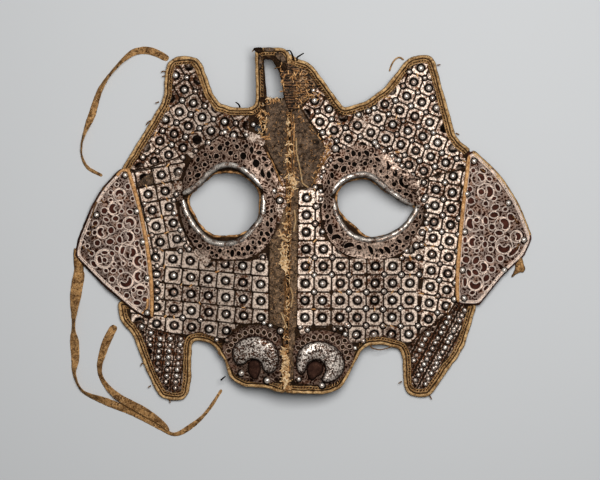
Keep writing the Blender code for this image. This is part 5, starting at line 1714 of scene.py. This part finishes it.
tornScraps = {
    "poll_scrap_1": (
        darkLeather, [(-62, 286.5), (-50, 287), (-44, 285), (-47, 281), (-56, 280.5), (-62, 282)],
    ),
    "poll_scrap_2": (
        darkLeather, [(-45, 279), (-38, 282), (-32, 277), (-27, 268), (-31, 262), (-38, 268), (-44, 272)],
    ),
    "poll_scrap_3": (shellLeather, [(-37, 262), (-31, 264), (-26, 257), (-29, 251), (-36, 254)]),
    "poll_scrap_4": (darkLeather, [(-69, 276), (-65, 277), (-63.5, 262), (-67, 252), (-70, 258)]),
    "poll_scrap_5": (shellLeather, [(-66, 214), (-59, 212), (-57, 206), (-63, 203), (-69, 208)]),
    "nose_strip": (bandLeather, [
        (-25.5, -128), (-15, -130), (-14.5, -150), (-17.5, -165), (-16.5, -190), (-18, -207), (-23, -212),
        (-26, -200), (-25, -165),
    ]),
}
for name, (coat, outline) in tornScraps.items():
    bm = pillow(outline, 1.2, 3, 4.4 if name == "nose_strip" else 5.0, 1.8)
    roughened(bm, 0.8, 3.5, 6)
    finished(name, bm, coat, [], "dark_leather", 70)


# The seam: frayed edges, lacing across them and scraps of thread
seam = {
    "line": [(-23.2, 192), (-23.9, 100), (-26.5, -60), (-29.2, -226)], "roll": 0.8, "low": 5.1,
    "gapRadius": 1.2, "gapLow": 4.9, "lacing": 11.5, "laceFrom": 180, "laceTo": -222, "lean": 0.0145,
    "laceLow": 5.4,
}
seamLine = softened(resampled(seam["line"], 3), 3)
for side, gap in (("left", 3.2), ("right", -3.0)):
    name, line = f"seam_edge_{side}", toTheRight(seamLine, gap)
    rolledEdge(
        name, line, seam["roll"], seam["low"], threadTan, "binding_leather", faceGround,
        closed=False, wander=1.6,
    )
# painted shadow: a black strip along the gap between the seam's edges
rolledEdge(
    "seam_gap_shadow", [p + Vector((1.2, 0)) for p in seamLine], seam["gapRadius"], seam["gapLow"],
    blackLeatherAndShade, "dark_leather", faceGround, closed=False, wander=1.4,
)
laces = []
for k in range(30):
    y = seam["laceFrom"] - seam["lacing"] * k * 1.18 + dice.uniform(-4, 4)
    x = seam["line"][0][0] + (seam["line"][0][1] - y) * -seam["lean"]
    if y < seam["laceTo"]:
        break
    sway = dice.uniform(-5, 5)
    left, right = Vector((x - dice.uniform(3, 7), y + sway)), Vector((x + dice.uniform(3, 7), y - sway))
    middle = (left + right) / 2 + Vector((0, dice.uniform(-2, 2)))
    line = softened(resampled([left, middle, right], 1.6), 1)
    row = []
    for n, p in enumerate(line):
        rise = seam["laceLow"] + 1.0 * math.sin(math.pi * n / max(1, len(line) - 1))
        row.append(((p.x, p.y, faceGround(*p) + rise), 1 - 0.3 * dice.random()))
    laces.append(row)
longThread = softened(resampled([(-13.5, 152), (-12.5, 128), (-9, 112), (-6, 98), (-4, 84), (4.5, 78)], 2), 3)
rows = [[((p.x + 0.8 * ruffle(p, 6), p.y, faceGround(*p) + 5.9), 1) for p in longThread]]
for points in (
    [(-36, -108), (-31, -120), (-27, -131)], [(-16, 45), (-14, 28), (-17, 12)],
    [(-22, -70), (-18, -84), (-21, -100)],
):
    rows.append(threadRow(softened(resampled(points, 2), 2), 6.0, 1.1))
threads("long_threads", rows, threadCream, 1.4, 0.25)
threads("lacing", laces, threadTan, 0.95, 0.25)


def scrapMould():
    bm = bmesh.new()
    bmesh.ops.create_grid(bm, x_segments=4, y_segments=1, size=0.5)
    bmesh.ops.scale(bm, verts=bm.verts, vec=(7, 1.9, 1))
    for vert in bm.verts:
        share = vert.co.x / 3.5
        vert.co.y = vert.co.y * (1 - 0.45 * share * share) + 0.9 * math.sin(2.2 * share)
        vert.co.z = 0.5 * (1 - share * share)
    made = bmesh.ops.extrude_face_region(bm, geom=bm.faces[:])["geom"]
    bmesh.ops.translate(bm, verts=vertsIn(made), vec=(0, 0, 0.6))
    bmesh.ops.recalc_face_normals(bm, faces=bm.faces)
    return mouldOf(bm)


def scattered(line, count, width, low=4.9, size=(0.4, 1.0)):
    places = []
    run = resampled(line, 1.0)
    for _ in range(count):
        spot = run[dice.randrange(len(run))]
        spot = spot + Vector((dice.uniform(-width, width), dice.uniform(-width, width)))
        places.append(at(
            spot, faceGround(*spot) + low + dice.uniform(0, 0.8),
            turn=dice.uniform(0, 6.3), lean=dice.uniform(-0.35, 0.35),
            size=(dice.uniform(*size), dice.uniform(*size), 1), tone=dice.random(),
        ))
    return places


# Where scraps of thread lie: (line, how many, how far from it, height, sizes)
scrap = scrapMould()
frayed = {
    "tan": [
        (seam["line"], 230, 3.5, 5.2, (0.3, 0.9)), ([(-18, 110), (-16, 88), (-20, 60)], 34, 6),
        ([(-18, 190), (-14, 90)], 40, 2.5, 5.2, (0.3, 0.7)),
        ([(-35, 170), (-30, 90)], 26, 9, 5.0, (0.25, 0.6)), ([(8, 160), (2, 100)], 20, 10, 5.0, (0.25, 0.6)),
        ([(-31, 20), (-30, -10), (-29, -40)], 26, 5), ([(-27, -165), (-26, -220)], 42, 5, 4.9, (0.7, 1.5)),
        ([(-58, 200), (-62, 168), (-56, 145)], 44, 6), ([(-60, 208), (-34, 209)], 24, 3),
        ([(-34, 262), (-32, 215)], 24, 3), ([(-78, 196), (-62, 180)], 18, 5),
        ([(-12, 190), (30, 140)], 12, 3), ([(36, 142), (22, 112), (12, 80)], 34, 3.5),
        ([(-33, 75), (-46, 60)], 10, 6), ([(10, 80), (8, -125)], 14, 4),
        ([(-16, 250), (2, 232), (12, 206)], 64, 9, 5.6, (0.3, 1.1)),
        ([(-14, 250), (-8, 178)], 40, 6, 5.6, (0.3, 1.0)),
    ],
    "cream": [
        ([(-30, -163), (-29, -212)], 44, 4.5, 5.6, (0.6, 2.1)),
        ([(-34, 24), (-32, -45)], 34, 5, 5.6, (0.6, 2.0)), ([(-66, 200), (-60, 176), (-66, 156)], 20, 6, 5.6),
        ([(-24, 180), (-26, 60)], 40, 3.5, 5.6, (0.4, 1.3)),
        ([(-19, 100), (-15, 70)], 14, 4, 5.6, (0.6, 1.8)), ([(-60, 209), (-34, 210)], 10, 3, 5.6),
        ([(-24, 50), (-28, -150)], 40, 4, 5.6, (0.3, 1.1)),
    ],
    "tieShare": 0.62, "tieLow": 5.2,
}
for tint, name, coat in (("tan", "frayed_scraps", threadTan), ("cream", "cream_scraps", threadCream)):
    places = [place for row in frayed[tint] for place in scattered(*row)]
    finished(name, strewn(scrap, places), coat, [], "strap_leather", 60)

ties = []
for field in paving.values():
    tree = depthOf(field["node"])
    for grid in field["grids"]:
        for i, j in gridCells(grid):
            spot = (gridPlace(grid, i, j) + gridPlace(grid, i, j + dice.choice((-1, 1)))) / 2
            spot += grid["step"] * dice.choice((-0.5, -0.45, 0.45, 0.5)) * dice.choice((0, 1, 1))
            if inGrid(grid, spot) and covered(tree, *spot, 2) == 1 and dice.random() < frayed["tieShare"]:
                ties.append(at(
                    spot, faceGround(*spot) + frayed["tieLow"] + dice.uniform(0, 0.5),
                    turn=dice.uniform(0, 6.3), lean=dice.uniform(-0.2, 0.2),
                    size=(dice.uniform(0.5, 1.1), dice.uniform(0.9, 1.7), 1), tone=dice.uniform(0.35, 1),
                ))
finished("ties_between_plates", strewn(scrap, ties), threadTan, [], "strap_leather", 60)
print("seam laced,", len(ties), "ties between the plates")

# Coarse cloth at the poll, laid on the shell
poll = {
    "low": 3.2, "thick": 1.2, "cell": 1.6, "wave": 0.9, "waveSize": 9, "rib": 0.2, "ribGap": 4.4, "fray": 0.9,
    "wornFrom": -18,
}
bm = topFaces("poll_pad")
cutFine(bm, poll["cell"])
rim = {v for e in bm.edges if e.is_boundary for v in e.verts}
for vert in bm.verts:
    x, y = vert.co.xy
    folds = ruffle((x, y), poll["waveSize"], 2) + 0.6 * ruffle((x * 0.35, y * 2.2), 6, 3)
    vert.co.z = poll["low"] + poll["thick"] + poll["wave"] * folds
    if vert in rim:
        vert.co.x += poll["fray"] * ruffle((x, y), 3, 5)
        vert.co.y += poll["fray"] * ruffle((x, y), 3, 6)
    vert.co.z += poll["rib"] * math.sin(y * 2 * math.pi / poll["ribGap"] + 1.5 * ruffle((x, y), 8, 4))
mark(bm, "tone", lambda v: 0.15 + 0.85 * easeStep((v.co.x - poll["wornFrom"] + 8 * ruffle(v.co, 6, 5)) / 14))
pollSheet = finished("poll_cloth", bm, pollCloth, ["poll_pad"], "coarse_cloth", 80, faceGround)
walled(pollSheet, poll["thick"])

# Tie straps, as (rounds of softening, roughness)
straps = {
    "tie_ear_left": (2, 0.5), "tie_flap_left": (2, 0.5), "tie_jaw_left": (2, 0.5),
    "thong_ear_right": (1, 0.15),
}
for node, (rounds, rough) in straps.items():
    bm = softCopy(node, rounds, 0.15, rough, 6, 9)
    finished("strap_" + node.replace("tie_", ""), bm, strapLeather, [node], "strap_leather", 60)
bm = pillow(
    [
        (-346.5, -11), (-343, -13), (-340.5, -20), (-338, -27), (-332.5, -35), (-331.5, -47), (-338, -50),
        (-345.5, -47), (-346.5, -36), (-347.5, -24),
    ],
    1.4, 3, 0.2, ground=flatGround,
)
finished("strap_flap_left_top", bm, strapLeather, [], "strap_leather", 70)
bm = pillow(
    [
        (311, -21), (320, -20), (325, -23), (327, -33), (330.5, -43), (329, -49), (322, -48), (316, -52),
        (309.5, -57), (308, -56.5), (312, -50), (315.5, -43), (315, -33),
    ],
    2.6, 4, 0.2, ground=flatGround,
)
roughened(bm, 0.9, 4, 6)
finished("strap_stub_right", bm, strapLeather, ["tie_stub_right"], "strap_leather", 70)
print("straps laid")

# Floor, light and camera
floorShape = {"shade": 0.69, "mottle": 260, "dip": 0.985, "tint": (0.985, 1.0, 1.01), "size": 4}
light = {
    "width": 1.7, "height": 1.5, "power": 43.5, "sky": 0.10, "place": (0.34, 0.62, 2.25), "lean": (-11, 5),
}
view = {"distance": 6.0, "lens": 240, "centre": (-1.0, 1.9), "sensor": 36}

floorMaterial, tree, shader, where = startMaterial("floorPaper")
mottle = grain(tree, where, floorShape["mottle"], 3, 0.5)
tint = tuple(floorShape["shade"] * share for share in floorShape["tint"])
tree.links.new(blendOf(tree, mottle, tint, dimmed(tint, floorShape["dip"])), shader.inputs["Base Color"])
shader.inputs["Roughness"].default_value = 0.95
shader.inputs["Specular IOR Level"].default_value = 0.1
bm = bmesh.new()
bmesh.ops.create_grid(bm, x_segments=1, y_segments=1, size=floorShape["size"])
mesh = meshOf(bm, "floor")
mesh.materials.append(floorMaterial)
floor = placed("floor", mesh)

scene = bpy.context.scene
scene.world = bpy.data.worlds.new("studio")
scene.world.use_nodes = True
sky = scene.world.node_tree.nodes["Background"]
sky.inputs["Color"].default_value = (1, 1, 1, 1)
sky.inputs["Strength"].default_value = light["sky"]
panel = bpy.data.lights.new("softbox", "AREA")
panel.shape = "RECTANGLE"
panel.size, panel.size_y = light["width"], light["height"]
panel.energy = light["power"]
softbox = placed("softbox", panel)
softbox.location = light["place"]
softbox.rotation_euler = (math.radians(light["lean"][0]), math.radians(light["lean"][1]), 0)
softbox.visible_camera = False
scene.view_settings.view_transform = "Standard"
scene.view_settings.look = "Medium High Contrast"

lens = bpy.data.cameras.new("camera")
lens.lens = view["lens"]
lens.sensor_width = view["sensor"]
lens.clip_end = 100
camera = placed("camera", lens)
camera.location = (view["centre"][0] * 0.001, view["centre"][1] * 0.001, view["distance"])
bpy.context.scene.camera = camera
print("floor, light and camera placed")
